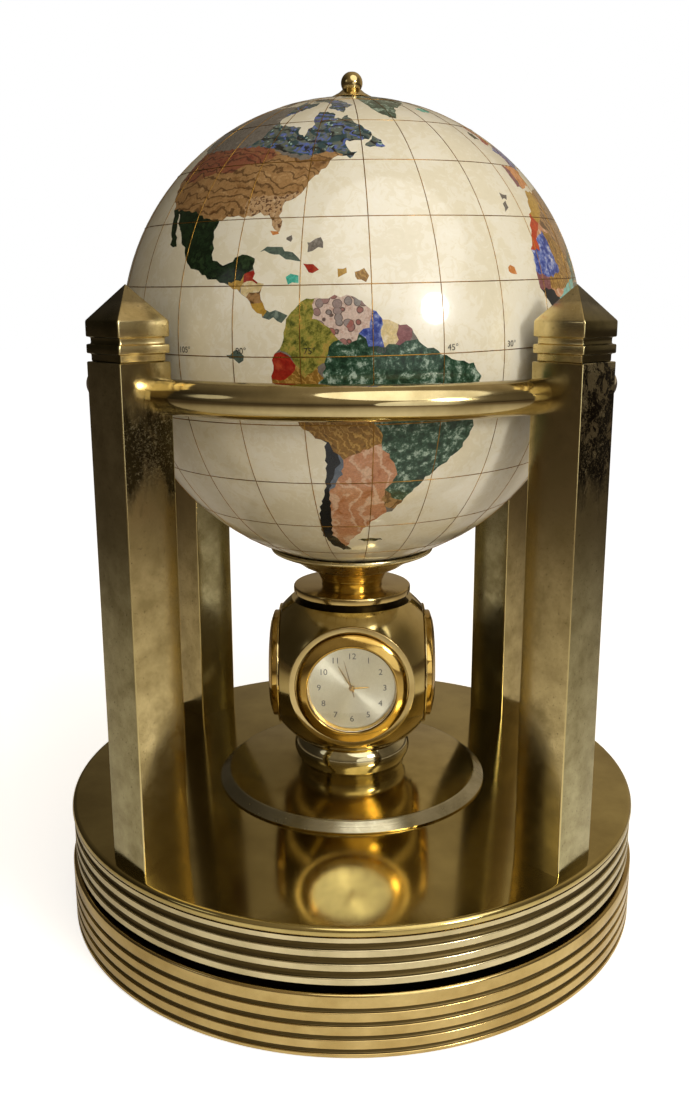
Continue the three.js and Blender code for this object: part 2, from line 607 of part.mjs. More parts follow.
// Columns: shaft, cap and foot, each in a group turned to the column's bearing
function columnShaft() {
  const outline = new THREE.Shape();
  outline.moveTo(-COLUMN_HALF_WIDTH, -COLUMN_HALF_WIDTH);
  outline.lineTo(COLUMN_HALF_WIDTH, -COLUMN_HALF_WIDTH);
  outline.lineTo(COLUMN_HALF_WIDTH, COLUMN_HALF_WIDTH);
  outline.lineTo(-COLUMN_HALF_WIDTH, COLUMN_HALF_WIDTH);
  outline.closePath();
  const bore = new THREE.Path();
  bore.moveTo(-COLUMN_BORE_HALF, -COLUMN_BORE_HALF);
  bore.lineTo(-COLUMN_BORE_HALF, COLUMN_BORE_HALF);
  bore.lineTo(COLUMN_BORE_HALF, COLUMN_BORE_HALF);
  bore.lineTo(COLUMN_BORE_HALF, -COLUMN_BORE_HALF);
  bore.closePath();
  outline.holes.push(bore);
  const tube = new THREE.ExtrudeGeometry(outline, { depth: COLUMN_TOP - PLATE_TOP, bevelEnabled: false });
  tube.translate(COLUMN_CENTRE_RADIUS, 0, PLATE_TOP);
  const reach = COLUMN_HALF_WIDTH + CUT_OVERRUN;
  const pegHole = solidFrom(crossBar(PEG_RADIUS + SEAT_GAP, -reach, reach));
  return geometryFrom(solidFrom(tube).subtract(pegHole));
}

function columnCap() {
  const grooveHalf = COLUMN_HALF_WIDTH - CAP_GROOVE_DEPTH;
  const ribBottom = COLUMN_TOP + CAP_LOWER_GROOVE;
  const ribTop = ribBottom + CAP_RIB;
  const bandBottom = ribTop + CAP_UPPER_GROOVE;
  const bandTop = bandBottom + CAP_BAND;
  const cap = squareTurned([
    [0, COLUMN_TOP - CAP_SPIGOT_LENGTH],
    [COLUMN_PLUG_HALF, COLUMN_TOP - CAP_SPIGOT_LENGTH],
    [COLUMN_PLUG_HALF, COLUMN_TOP],
    [grooveHalf, COLUMN_TOP],
    [grooveHalf, ribBottom],
    [COLUMN_HALF_WIDTH, ribBottom],
    [COLUMN_HALF_WIDTH, ribTop],
    [grooveHalf, ribTop],
    [grooveHalf, bandBottom],
    [COLUMN_HALF_WIDTH, bandBottom],
    [COLUMN_HALF_WIDTH, bandTop - CAP_BAND_ROUNDING],
    [COLUMN_HALF_WIDTH - CAP_BAND_ROUNDING, bandTop],
    [0, bandTop + CAP_PYRAMID_HEIGHT],
  ]);
  cap.translate(COLUMN_CENTRE_RADIUS, 0, 0);
  return cap;
}

function columnFoot() {
  const plug = squareTurned([
    [0, PLATE_TOP],
    [COLUMN_PLUG_HALF, PLATE_TOP],
    [COLUMN_PLUG_HALF, PLATE_TOP + FOOT_HEIGHT],
    [0, PLATE_TOP + FOOT_HEIGHT],
  ]);
  const studBottom = PLATE_BOTTOM - SEAT_GAP;
  const stud = turned([
    [0, studBottom - FOOT_RIVET_THICKNESS],
    [FOOT_RIVET_RADIUS, studBottom - FOOT_RIVET_THICKNESS],
    [FOOT_RIVET_RADIUS, studBottom],
    [FOOT_STUD_RADIUS, studBottom],
    [FOOT_STUD_RADIUS, PLATE_TOP + FOOT_HEIGHT / 2],
    [0, PLATE_TOP + FOOT_HEIGHT / 2],
  ], TINY_SEGMENTS);
  const foot = geometryFrom(solidFrom(plug).add(solidFrom(stud)));
  foot.translate(COLUMN_CENTRE_RADIUS, 0, 0);
  return foot;
}

const columnNames = ['front_left', 'front_right', 'rear_right', 'rear_left'];
columnNames.forEach((corner, index) => {
  const bearing = new THREE.Group();
  bearing.rotation.z = -3 * EIGHTH_TURN + index * QUARTER_TURN;
  bearing.add(mesh(`column_shaft_${corner}`, columnShaft(), FINISHES.paleBrass));
  bearing.add(mesh(`column_cap_${corner}`, columnCap(), FINISHES.paleBrass));
  bearing.add(mesh(`column_foot_${corner}`, columnFoot(), FINISHES.steel));
  globeClock.add(bearing);
});

// Pedestal skirt: a spun brass dish, open below, on a hub
const skirtShoulder = PLATE_TOP + SKIRT_SHOULDER_RISE;
const skirtProfile = [
  [ROD_BORE, PLATE_TOP],
  [SKIRT_HUB_RADIUS, PLATE_TOP],
  [SKIRT_HUB_RADIUS, SKIRT_TOP - 2 * SKIRT_WALL],
  [COLLAR_SEAT_RADIUS, SKIRT_TOP - 2 * SKIRT_WALL],
  [SKIRT_FOOT_RADIUS - SKIRT_FOOT_WIDTH, skirtShoulder - SKIRT_WALL],
  [SKIRT_FOOT_RADIUS - SKIRT_FOOT_WIDTH, PLATE_TOP],
  [SKIRT_FOOT_RADIUS, PLATE_TOP],
  [SKIRT_FOOT_RADIUS, PLATE_TOP + SKIRT_FOOT_EDGE],
  [SKIRT_SHOULDER_RADIUS, skirtShoulder],
  [COLLAR_WAIST_RADIUS + COLLAR_BULGE + SKIRT_FILLET, SKIRT_TOP - SKIRT_FILLET],
  [COLLAR_WAIST_RADIUS + COLLAR_BULGE, SKIRT_TOP],
  [ROD_BORE, SKIRT_TOP],
];
globeClock.add(mesh('pedestal_skirt', turned(skirtProfile, MIDDLE_SEGMENTS), FINISHES.paleBrass));

// Pedestal collar: a plump drum that carries the cube
const COLLAR_HEIGHT_SHARES = [0.12, 0.3, 0.62, 0.94];
const COLLAR_BULGE_SHARES = [0.6, 1, 0.6, 0];
const collarHeight = CUBE_BOTTOM - SKIRT_TOP;
const collarProfile = [
  [ROD_BORE, SKIRT_TOP],
  [COLLAR_SEAT_RADIUS, SKIRT_TOP],
  ...COLLAR_HEIGHT_SHARES.map((share, index) => [
    COLLAR_WAIST_RADIUS + COLLAR_BULGE * COLLAR_BULGE_SHARES[index],
    SKIRT_TOP + collarHeight * share,
  ]),
  [COLLAR_SEAT_RADIUS, CUBE_BOTTOM],
  [ROD_BORE, CUBE_BOTTOM],
];
globeClock.add(mesh('pedestal_collar', turned(collarProfile, MIDDLE_SEGMENTS), FINISHES.paleBrass));

// Clock cube: the cube and the sphere meet in a round flat on every face, three of them bored
function clockCube() {
  const block = new THREE.BoxGeometry(2 * CUBE_HALF, 2 * CUBE_HALF, 2 * CUBE_HALF);
  const ball = new THREE.SphereGeometry(CUBE_SPHERE_RADIUS, CUBE_SPHERE_SEGMENTS, CUBE_SPHERE_ROWS);
  ball.rotateX(QUARTER_TURN);
  const cavityHalf = CUBE_HALF - CUBE_WALL;
  let body = solidFrom(block).intersect(solidFrom(ball));
  body = body.subtract(solidFrom(bar(cavityHalf, -cavityHalf, cavityHalf, INSTRUMENT_SEGMENTS)));
  body = body.subtract(solidFrom(bar(ROD_BORE, -CUBE_HALF - CUT_OVERRUN, CUBE_HALF + CUT_OVERRUN, SMALL_SEGMENTS)));
  [-QUARTER_TURN, 0, QUARTER_TURN].forEach((bearing) => {
    const bore = bar(INSTRUMENT_BORE, ROD_BORE, CUBE_HALF + CUT_OVERRUN, INSTRUMENT_SEGMENTS);
    bore.rotateX(QUARTER_TURN);
    bore.rotateZ(bearing);
    body = body.subtract(solidFrom(bore));
  });
  const geometry = geometryFrom(body);
  geometry.translate(0, 0, CUBE_CENTRE_HEIGHT);
  return geometry;
}
globeClock.add(mesh('clock_cube', clockCube(), FINISHES.paleBrass));

// Disc on the cube, on a smaller seat that leaves a dark line under its edge
const discProfile = [
  [ROD_BORE, CUBE_TOP],
  [DISC_SEAT_RADIUS, CUBE_TOP],
  [DISC_SEAT_RADIUS, DISC_BOTTOM],
  [DISC_RADIUS - DISC_EDGE / 2, DISC_BOTTOM],
  [DISC_RADIUS, DISC_BOTTOM + DISC_EDGE / 2],
  [DISC_RADIUS, DISC_TOP - DISC_EDGE],
  [DISC_RADIUS - DISC_EDGE, DISC_TOP],
  [ROD_BORE, DISC_TOP],
];
globeClock.add(mesh('top_disc', turned(discProfile, MIDDLE_SEGMENTS), FINISHES.goldBrass));

// Neck: a spool with fine turned ribs under the cup
const neckRibs = [];
const neckFlare = (height) => {
  const share = (height - DISC_TOP) / NECK_HEIGHT;
  return NECK_FOOT_RADIUS + (NECK_TOP_RADIUS - NECK_FOOT_RADIUS) * share * share;
};
for (let rib = 0; rib < NECK_RIB_COUNT; rib += 1) {
  const ribBottom = DISC_TOP + NECK_PLAIN_HEIGHT + rib * NECK_RIB_PITCH;
  const ribMiddle = ribBottom + NECK_RIB_PITCH / 2;
  neckRibs.push([neckFlare(ribBottom), ribBottom]);
  neckRibs.push([neckFlare(ribMiddle) + NECK_RIB_DEPTH, ribMiddle]);
}
const neckProfile = [
  [ROD_BORE, DISC_TOP],
  [NECK_FOOT_RADIUS, DISC_TOP],
  ...neckRibs,
  [NECK_TOP_RADIUS, NECK_TOP],
  [ROD_BORE, NECK_TOP],
];
globeClock.add(mesh('neck_spool', turned(neckProfile, MIDDLE_SEGMENTS), FINISHES.warmBrass));

// Cup: its inside follows the globe with a running gap, and its floor takes the globe's bush
const globeAngle = (radius, sphere) => -Math.acos(radius / sphere);
const cupInside = arcPoints(CUP_INNER_RADIUS, GLOBE_CENTRE_HEIGHT,
  globeAngle(CUP_RIM_RADIUS - CUP_RIM_THICKNESS, CUP_INNER_RADIUS),
  globeAngle(CUP_FLOOR_RADIUS, CUP_INNER_RADIUS), CUP_ROWS);
const cupFloor = GLOBE_BOTTOM - RUNNING_GAP - SEAT_GAP;
const cupRimTop = cupInside[0][1];
const CUP_FLARE_RISE_SHARE = 0.36;
const CUP_UNDER_RADIUS_SHARE = 0.72;
const CUP_UNDER_RISE_SHARE = 0.66;
const cupProfile = [
  [ROD_BORE, NECK_TOP],
  [NECK_TOP_RADIUS, NECK_TOP],
  [CUP_FLARE_RADIUS, NECK_TOP + (cupRimTop - NECK_TOP) * CUP_FLARE_RISE_SHARE],
  [CUP_FLARE_RADIUS + (CUP_RIM_RADIUS - CUP_FLARE_RADIUS) * CUP_UNDER_RADIUS_SHARE,
    NECK_TOP + (cupRimTop - NECK_TOP) * CUP_UNDER_RISE_SHARE],
  [CUP_RIM_RADIUS, cupRimTop - CUP_RIM_THICKNESS],
  [CUP_RIM_RADIUS, cupRimTop - CUP_RIM_THICKNESS / 3],
  ...cupInside,
  [CUP_FLOOR_RADIUS, cupFloor],
  [ROD_BORE, cupFloor],
];
globeClock.add(mesh('globe_cup', turned(cupProfile, MIDDLE_SEGMENTS), FINISHES.goldBrass));

// Rod through the stack and the globe, with a nut under the plate
const nutTop = PLATE_BOTTOM - SEAT_GAP;
const rodBottom = nutTop - ROD_NUT_THICKNESS - ROD_TAIL;
globeClock.add(mesh('axis_rod', bar(ROD_RADIUS, rodBottom, FINIAL_BOTTOM, SMALL_SEGMENTS), FINISHES.steel));
const nutBlank = bar(ROD_NUT_RADIUS, nutTop - ROD_NUT_THICKNESS, nutTop, NUT_SIDES);
const nutBore = bar(ROD_BORE, nutTop - ROD_NUT_THICKNESS - CUT_OVERRUN, nutTop + CUT_OVERRUN, SMALL_SEGMENTS);
const nut = solidFrom(nutBlank).subtract(solidFrom(nutBore));
globeClock.add(mesh('axis_nut', geometryFrom(nut), FINISHES.steel));

// Finial, screwed on the rod above the globe
const ballCentre = FINIAL_CONE_TOP + Math.sqrt(FINIAL_BALL_RADIUS ** 2 - FINIAL_COLLAR_RADIUS ** 2);
const finialProfile = [
  [0, FINIAL_BOTTOM],
  [FINIAL_FOOT_RADIUS, FINIAL_BOTTOM],
  [FINIAL_FOOT_RADIUS - FINE_GAP, FINIAL_BOTTOM + FINE_GAP],
  ...arcPoints(FINIAL_BALL_RADIUS, ballCentre,
    -Math.acos(FINIAL_COLLAR_RADIUS / FINIAL_BALL_RADIUS),
    Math.acos(FINIAL_FLAT_RADIUS / FINIAL_BALL_RADIUS), FINIAL_BALL_ROWS),
];
finialProfile.push([0, finialProfile[finialProfile.length - 1][1]]);
globeClock.add(mesh('finial', turned(finialProfile, SMALL_SEGMENTS), FINISHES.paleBrass));

// Globe: two resin shells that meet at the equator, and a flanged bush at each pole
const poleAngle = Math.acos(BUSH_HOLE / GLOBE_RADIUS);
const seatAngle = Math.acos((BUSH_FLANGE_RADIUS + SEAT_GAP) / GLOBE_BORE);
const bushSeat = GLOBE_BORE * Math.sin(seatAngle);
const northProfile = [
  ...arcPoints(GLOBE_RADIUS, GLOBE_CENTRE_HEIGHT, 0, poleAngle, GLOBE_ROWS),
  [BUSH_HOLE, GLOBE_CENTRE_HEIGHT + bushSeat],
  ...arcPoints(GLOBE_BORE, GLOBE_CENTRE_HEIGHT, seatAngle, 0, GLOBE_INNER_ROWS),
];
const southProfile = [
  ...arcPoints(GLOBE_RADIUS, GLOBE_CENTRE_HEIGHT, -poleAngle, 0, GLOBE_ROWS),
  ...arcPoints(GLOBE_BORE, GLOBE_CENTRE_HEIGHT, 0, -seatAngle, GLOBE_INNER_ROWS),
  [BUSH_HOLE, GLOBE_CENTRE_HEIGHT - bushSeat],
];
globeClock.add(mesh('globe_north', turned(northProfile, GLOBE_SEGMENTS), FINISHES.pearl));
globeClock.add(mesh('globe_south', turned(southProfile, GLOBE_SEGMENTS), FINISHES.pearl));

const northFlange = GLOBE_CENTRE_HEIGHT + bushSeat - SEAT_GAP;
const southFlange = GLOBE_CENTRE_HEIGHT - bushSeat + SEAT_GAP;
const northBush = [
  [BUSH_BORE, northFlange - BUSH_FLANGE_THICKNESS],
  [BUSH_FLANGE_RADIUS, northFlange - BUSH_FLANGE_THICKNESS],
  [BUSH_FLANGE_RADIUS, northFlange],
  [BUSH_BARREL_RADIUS, northFlange],
  [BUSH_BARREL_RADIUS, GLOBE_TOP],
  [BUSH_BORE, GLOBE_TOP],
];
const southBush = [
  [BUSH_BORE, cupFloor + SEAT_GAP],
  [BUSH_BARREL_RADIUS, cupFloor + SEAT_GAP],
  [BUSH_BARREL_RADIUS, southFlange],
  [BUSH_FLANGE_RADIUS, southFlange],
  [BUSH_FLANGE_RADIUS, southFlange + BUSH_FLANGE_THICKNESS],
  [BUSH_BORE, southFlange + BUSH_FLANGE_THICKNESS],
];
globeClock.add(mesh('globe_bush_north', turned(northBush, SMALL_SEGMENTS), FINISHES.warmBrass));
globeClock.add(mesh('globe_bush_south', turned(southBush, SMALL_SEGMENTS), FINISHES.warmBrass));

// Each instrument is built facing +Z from the cube's face, then turned to its side of the cube
function instrumentGroup(bearing) {
  const facing = new THREE.Group();
  facing.rotation.x = QUARTER_TURN;
  facing.position.set(0, -CUBE_HALF, 0);
  const side = new THREE.Group();
  side.rotation.z = bearing;
  side.position.set(0, 0, CUBE_CENTRE_HEIGHT);
  side.add(facing);
  globeClock.add(side);
  return facing;
}

function mountRing() {
  return turned([
    [RING_BORE, SEAT_GAP],
    [RING_OUTER_RADIUS, SEAT_GAP],
    [RING_OUTER_RADIUS, RING_HEIGHT - RING_ROUNDING],
    [RING_OUTER_RADIUS - RING_ROUNDING, RING_HEIGHT],
    [RING_BORE, RING_HEIGHT],
  ], INSTRUMENT_SEGMENTS);
}

function instrumentBezel() {
  return turned([
    [DIAL_RADIUS + SEAT_GAP, FINE_GAP],
    [BEZEL_RADIUS, FINE_GAP],
    [BEZEL_RADIUS, BEZEL_EDGE_HEIGHT],
    [BEZEL_RADIUS - BEZEL_EDGE_BREAK, BEZEL_EDGE_HEIGHT + BEZEL_EDGE_BREAK],
    [BEZEL_LIP_RADIUS, BEZEL_LIP_HEIGHT],
    [LENS_RADIUS + FINE_GAP, BEZEL_LIP_HEIGHT],
    [LENS_RADIUS + FINE_GAP, LENS_SEAT_HEIGHT],
    [REHAUT_RADIUS + REHAUT_LEDGE, LENS_SEAT_HEIGHT],
    [REHAUT_RADIUS, DIAL_FACE + FINE_GAP],
    [DIAL_RADIUS + SEAT_GAP, DIAL_FACE + FINE_GAP],
  ], INSTRUMENT_SEGMENTS);
}

function instrumentLens() {
  const lensBottom = LENS_SEAT_HEIGHT + FINE_GAP;
  return turned([
    [0, lensBottom],
    [LENS_RADIUS, lensBottom],
    [LENS_RADIUS, lensBottom + LENS_THICKNESS],
    [0, lensBottom + LENS_THICKNESS + LENS_DOME],
  ], INSTRUMENT_SEGMENTS);
}

function instrumentDial(hole) {
  return turned([
    [hole, DIAL_BACK],
    [DIAL_RADIUS, DIAL_BACK],
    [DIAL_RADIUS, DIAL_FACE],
    [hole, DIAL_FACE],
  ], INSTRUMENT_SEGMENTS);
}

function instrumentCase(depth, hole) {
  return turned([
    [0, -depth],
    [CASE_BACK_RADIUS, -depth],
    [CASE_BACK_RADIUS, CASE_BACK_STEP - depth],
    [CASE_RADIUS, CASE_BACK_STEP - depth],
    [CASE_RADIUS, 0],
    [hole, 0],
    [hole, -ARBOR_REACH - FINE_GAP],
    [0, -ARBOR_REACH - FINE_GAP],
  ], INSTRUMENT_SEGMENTS);
}

// A hand cut from sheet, on a tube or pin that runs back through the dial. It points to twelve and
// is then turned clockwise to its reading.
function hand(length, tail, width, hubRadius, arborRadius, bore, level, share) {
  const outline = new THREE.Shape();
  outline.moveTo(-width / 2, -tail);
  outline.lineTo(width / 2, -tail);
  outline.lineTo(width / 2, length - 2 * width);
  outline.lineTo(0, length);
  outline.lineTo(-width / 2, length - 2 * width);
  outline.closePath();
  const blade = new THREE.ExtrudeGeometry(outline, { depth: HAND_THICKNESS, bevelEnabled: false });
  blade.translate(0, 0, level);
  let made = solidFrom(blade);
  made = made.add(solidFrom(bar(hubRadius, level, level + HAND_THICKNESS, TINY_SEGMENTS)));
  made = made.add(solidFrom(bar(arborRadius, -ARBOR_REACH, level + HAND_THICKNESS / 2, TINY_SEGMENTS)));
  if (bore > 0) {
    const hole = bar(bore, -ARBOR_REACH - CUT_OVERRUN, level + HAND_THICKNESS + CUT_OVERRUN, TINY_SEGMENTS);
    made = made.subtract(solidFrom(hole));
  }
  const geometry = geometryFrom(made);
  geometry.rotateZ(-share * FULL_TURN);
  return geometry;
}

// Clock on the front, held in its bore by a rubber band
const clock = instrumentGroup(0);
clock.add(mesh('clock_ring', mountRing(), FINISHES.paleBrass));
clock.add(mesh('clock_bezel', instrumentBezel(), FINISHES.warmBrass));
clock.add(mesh('clock_lens', instrumentLens(), FINISHES.glass));
clock.add(mesh('clock_dial', instrumentDial(DIAL_HOLE), FINISHES.silverDial));

const knobSeat = -CLOCK_CASE_DEPTH - SEAT_GAP;
const stemTop = -CLOCK_CASE_DEPTH + KNOB_STEM_LENGTH;
const stemHole = bar(KNOB_STEM_RADIUS + SEAT_GAP, -CLOCK_CASE_DEPTH - CUT_OVERRUN, stemTop + SEAT_GAP, TINY_SEGMENTS);
stemHole.translate(0, -KNOB_OFFSET, 0);
const movement = solidFrom(instrumentCase(CLOCK_CASE_DEPTH, DIAL_HOLE)).subtract(solidFrom(stemHole));
clock.add(mesh('clock_movement', geometryFrom(movement), FINISHES.plastic));

const gasketInner = CASE_RADIUS + SEAT_GAP;
const gasketProfile = [
  [gasketInner, -GASKET_INSET - GASKET_WIDTH],
  [gasketInner + GASKET_THICKNESS, -GASKET_INSET - GASKET_WIDTH],
  [gasketInner + GASKET_THICKNESS, -GASKET_INSET],
  [gasketInner, -GASKET_INSET],
];
clock.add(mesh('clock_band', turned(gasketProfile, INSTRUMENT_SEGMENTS), FINISHES.rubber));

clock.add(mesh('hour_hand', hand(HOUR_HAND_LENGTH, 0, HOUR_HAND_WIDTH, HOUR_ARBOR_RADIUS + HUB_LAP,
  HOUR_ARBOR_RADIUS, HOUR_ARBOR_BORE, HOUR_LEVEL, HOUR_SHARE), FINISHES.warmBrass));
clock.add(mesh('minute_hand', hand(MINUTE_HAND_LENGTH, 0, MINUTE_HAND_WIDTH, MINUTE_ARBOR_RADIUS + HUB_LAP,
  MINUTE_ARBOR_RADIUS, MINUTE_ARBOR_BORE, MINUTE_LEVEL, MINUTE_SHARE), FINISHES.warmBrass));
clock.add(mesh('second_hand', hand(SECOND_HAND_LENGTH, SECOND_HAND_TAIL, SECOND_HAND_WIDTH,
  SECOND_ARBOR_RADIUS + HUB_LAP, SECOND_ARBOR_RADIUS, 0, SECOND_LEVEL, SECOND_SHARE), FINISHES.warmBrass));

const knobProfile = [
  [0, knobSeat - KNOB_HEIGHT],
  [KNOB_RADIUS, knobSeat - KNOB_HEIGHT],
  [KNOB_RADIUS, knobSeat],
  [KNOB_STEM_RADIUS, knobSeat],
  [KNOB_STEM_RADIUS, stemTop],
  [0, stemTop],
];
const knob = turned(knobProfile, SMALL_SEGMENTS);
knob.translate(0, -KNOB_OFFSET, 0);
clock.add(mesh('setting_knob', knob, FINISHES.plastic));

// Thermometer on the right, hygrometer on the left
const meters = [
  ['thermometer', QUARTER_TURN, THERMOMETER_SHARE],
  ['hygrometer', -QUARTER_TURN, HYGROMETER_SHARE],
];
meters.forEach(([name, bearing, share]) => {
  const meter = instrumentGroup(bearing);
  const pointer = hand(POINTER_LENGTH, POINTER_TAIL, POINTER_WIDTH,
    MINUTE_ARBOR_RADIUS + HUB_LAP, MINUTE_ARBOR_RADIUS, 0, MINUTE_LEVEL, share);
  meter.add(mesh(`${name}_ring`, mountRing(), FINISHES.paleBrass));
  meter.add(mesh(`${name}_bezel`, instrumentBezel(), FINISHES.warmBrass));
  meter.add(mesh(`${name}_lens`, instrumentLens(), FINISHES.glass));
  meter.add(mesh(`${name}_dial`, instrumentDial(HOUR_ARBOR_BORE), FINISHES.silverDial));
  meter.add(mesh(`${name}_case`, instrumentCase(METER_CASE_DEPTH, HOUR_ARBOR_BORE), FINISHES.plastic));
  meter.add(mesh(`${name}_pointer`, pointer, FINISHES.warmBrass));
});

export default globeClock;
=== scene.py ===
import math
import bmesh
import bpy
from mathutils import Matrix, Vector
from mathutils.geometry import delaunay_2d_cdt


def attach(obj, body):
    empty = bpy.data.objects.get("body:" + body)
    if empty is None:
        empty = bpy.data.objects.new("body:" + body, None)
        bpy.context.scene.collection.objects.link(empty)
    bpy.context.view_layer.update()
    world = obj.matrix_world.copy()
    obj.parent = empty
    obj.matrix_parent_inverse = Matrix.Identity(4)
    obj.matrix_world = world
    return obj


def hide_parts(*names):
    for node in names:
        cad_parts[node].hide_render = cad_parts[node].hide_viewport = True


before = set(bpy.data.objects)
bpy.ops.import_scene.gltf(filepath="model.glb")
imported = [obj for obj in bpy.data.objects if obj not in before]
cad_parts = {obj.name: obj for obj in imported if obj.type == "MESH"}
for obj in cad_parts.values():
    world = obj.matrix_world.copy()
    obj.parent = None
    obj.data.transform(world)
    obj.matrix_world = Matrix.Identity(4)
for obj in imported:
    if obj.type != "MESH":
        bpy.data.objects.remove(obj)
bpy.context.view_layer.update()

# Camera: close to the clock and a little above the globe's middle, looking slightly down, as the
# photograph was taken. The focal length and the centre are in pixels of a 689 by 1100 picture.
IMAGE_WIDTH, IMAGE_HEIGHT = 689, 1100
FOCAL_PIXELS = 1046.5
CENTRE_X, CENTRE_Y = 354.3, 535.65
SENSOR_HEIGHT = 24
camera_data = bpy.data.cameras.new("product_camera")
camera_data.sensor_fit = "VERTICAL"
camera_data.sensor_height = SENSOR_HEIGHT
camera_data.lens = SENSOR_HEIGHT * FOCAL_PIXELS / IMAGE_HEIGHT
camera_data.shift_x = (IMAGE_WIDTH / 2 - CENTRE_X) / IMAGE_HEIGHT
camera_data.shift_y = (CENTRE_Y - IMAGE_HEIGHT / 2) / IMAGE_HEIGHT
camera_data.clip_start = 0.01
camera = bpy.data.objects.new("product_camera", camera_data)
camera.location = (0.00081, -0.3561, 0.21132)
camera.rotation_euler = (math.radians(90 - 12.944), 0, 0)
bpy.context.collection.objects.link(camera)
bpy.context.scene.camera = camera
bpy.context.scene.view_settings.view_transform = "Standard"

# Table: a plain white sweep of matt card under the clock. It is lit like the clock, and it glows
# a little for the eye, so that it runs into the pale background. For mirrors it glows faintly, and
# brighter in a patch near the base in front, as painted light. Its colour darkens away from the
# clock as painted shade.
FLOOR_RADIUS = 4.0


def linear(colour):
    """An sRGB hex colour as the linear colour that a socket takes."""
    values = [int(colour[i:i + 2], 16) / 255 for i in (1, 3, 5)]
    return [v / 12.92 if v <= 0.04045 else ((v + 0.055) / 1.055) ** 2.4 for v in values] + [1.0]


def add_node(tree, kind, values=None, links=None, **settings):
    """A node with its settings, its socket values and what feeds it."""
    made = tree.nodes.new(kind if kind.startswith(("Geometry", "NodeGroup")) else "ShaderNode" + kind)
    for name, value in settings.items():
        setattr(made, name, value)
    for key, value in (values or {}).items():
        made.inputs[key].default_value = value
    for key, source in (links or {}).items():
        tree.links.new(getattr(source, "outputs", [source])[0], made.inputs[key])
    return made


def new_material(name):
    """An empty material and its tree."""
    material = bpy.data.materials.new(name)
    material.use_nodes = True
    material.node_tree.nodes.clear()
    return material, material.node_tree


def add_piece(name, mesh, material, body, replaced=()):
    """A finished mesh as a piece that rides on a body and stands for CAD nodes."""
    piece = bpy.data.objects.new(name, mesh)
    bpy.context.collection.objects.link(piece)
    if material is not None:
        mesh.materials.append(material)
    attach(piece, body)
    if replaced:
        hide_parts(*replaced)
    return piece


floor_mesh = bpy.data.meshes.new("table_sweep")
rim = [(FLOOR_RADIUS * math.cos(a * math.pi / 32), FLOOR_RADIUS * math.sin(a * math.pi / 32),
        0) for a in range(64)]
floor_mesh.from_pydata(rim, [], [list(range(64))])
floor = bpy.data.objects.new("table_sweep", floor_mesh)
bpy.context.collection.objects.link(floor)
card, tree = new_material("matt_white_card")
path = add_node(tree, "LightPath")
spread = add_node(tree, "TexCoord")
spread = add_node(tree, "VectorMath", links={0: spread.outputs["Object"]}, operation="LENGTH")
glow_level = add_node(tree, "MapRange", {"From Min": 0.12, "From Max": 0.5, "To Min": 0.7, "To Max": 1.0},
                      {"Value": spread.outputs["Value"]}, interpolation_type="SMOOTHSTEP")
eye = add_node(tree, "Math", links={0: path.outputs["Is Camera Ray"], 1: glow_level}, operation="MULTIPLY")
# Painted light: for mirrors the card glows, brightest in a patch near the base in front.
mirrored = add_node(tree, "Math", links={0: path.outputs["Is Glossy Ray"],
                                         1: path.outputs["Is Transmission Ray"]}, operation="MAXIMUM")
mirror_glow_patch = add_node(tree, "MapRange", {"From Min": 0.32, "From Max": 0.13}, {"Value": spread.outputs["Value"]},
                 interpolation_type="SMOOTHSTEP")
before = add_node(tree, "TexCoord")
before = add_node(tree, "VectorMath", {1: (0.4, -1.0, 0.0)}, {0: before.outputs["Object"]},
                  operation="DOT_PRODUCT")
before = add_node(tree, "MapRange", {"From Min": 0.03, "From Max": 0.13},
                  {"Value": before.outputs["Value"]}, interpolation_type="SMOOTHSTEP")
mirror_glow_patch = add_node(tree, "Math", links={0: mirror_glow_patch, 1: before}, operation="MULTIPLY")
mirror_glow_patch = add_node(tree, "Math", {1: 0.3, 2: 0.02}, {0: mirror_glow_patch}, operation="MULTIPLY_ADD")
mirrored = add_node(tree, "Math", links={0: mirrored, 1: mirror_glow_patch}, operation="MULTIPLY")
dim = add_node(tree, "Math", links={0: eye, 1: mirrored}, operation="ADD")
# Painted shade: the card's colour darkens from #f2ede2 near the clock to #6f6252 further out.
painted_falloff = add_node(tree, "MapRange", {"From Min": 0.15, "From Max": 0.75}, {"Value": spread.outputs["Value"]},
                interpolation_type="SMOOTHSTEP")
card_tone_painted_falloff = add_node(tree, "Mix", {6: linear("#f2ede2"), 7: linear("#6f6252")}, {0: painted_falloff}, data_type="RGBA")
paper = add_node(tree, "BsdfDiffuse", links={"Color": card_tone_painted_falloff.outputs[2]})
glow = add_node(tree, "Emission", {"Color": linear("#ffffff")}, {"Strength": dim})
both = add_node(tree, "AddShader", links={0: paper, 1: glow})
add_node(tree, "OutputMaterial", links={0: both})
floor_mesh.materials.append(card)

# Light: a dim room round a white card. The eye sees plain white behind the clock, while the brass
# mirrors the dim room, brighter low in front and behind on the right, and four round lamps.
world = bpy.data.worlds.new("dim_room")
bpy.context.scene.world = world
world.use_nodes = True
tree = world.node_tree
tree.nodes.clear()
where = add_node(tree, "TexCoord")
axes = add_node(tree, "SeparateXYZ", links={0: where.outputs["Generated"]})
front = add_node(tree, "MapRange", {"From Min": -0.2, "From Max": -1.0, "To Min": 0.0, "To Max": 0.14},
                 {"Value": axes.outputs["Y"]}, interpolation_type="SMOOTHSTEP")
right = add_node(tree, "MapRange", {"From Min": -1.0, "From Max": 1.0, "To Min": 0.02, "To Max": 0.12},
                 {"Value": axes.outputs["X"]})
raised = add_node(tree, "MapRange", {"From Min": -0.2, "From Max": 0.35, "To Min": 0.25, "To Max": 1.6},
                  {"Value": axes.outputs["Z"]}, interpolation_type="SMOOTHSTEP")
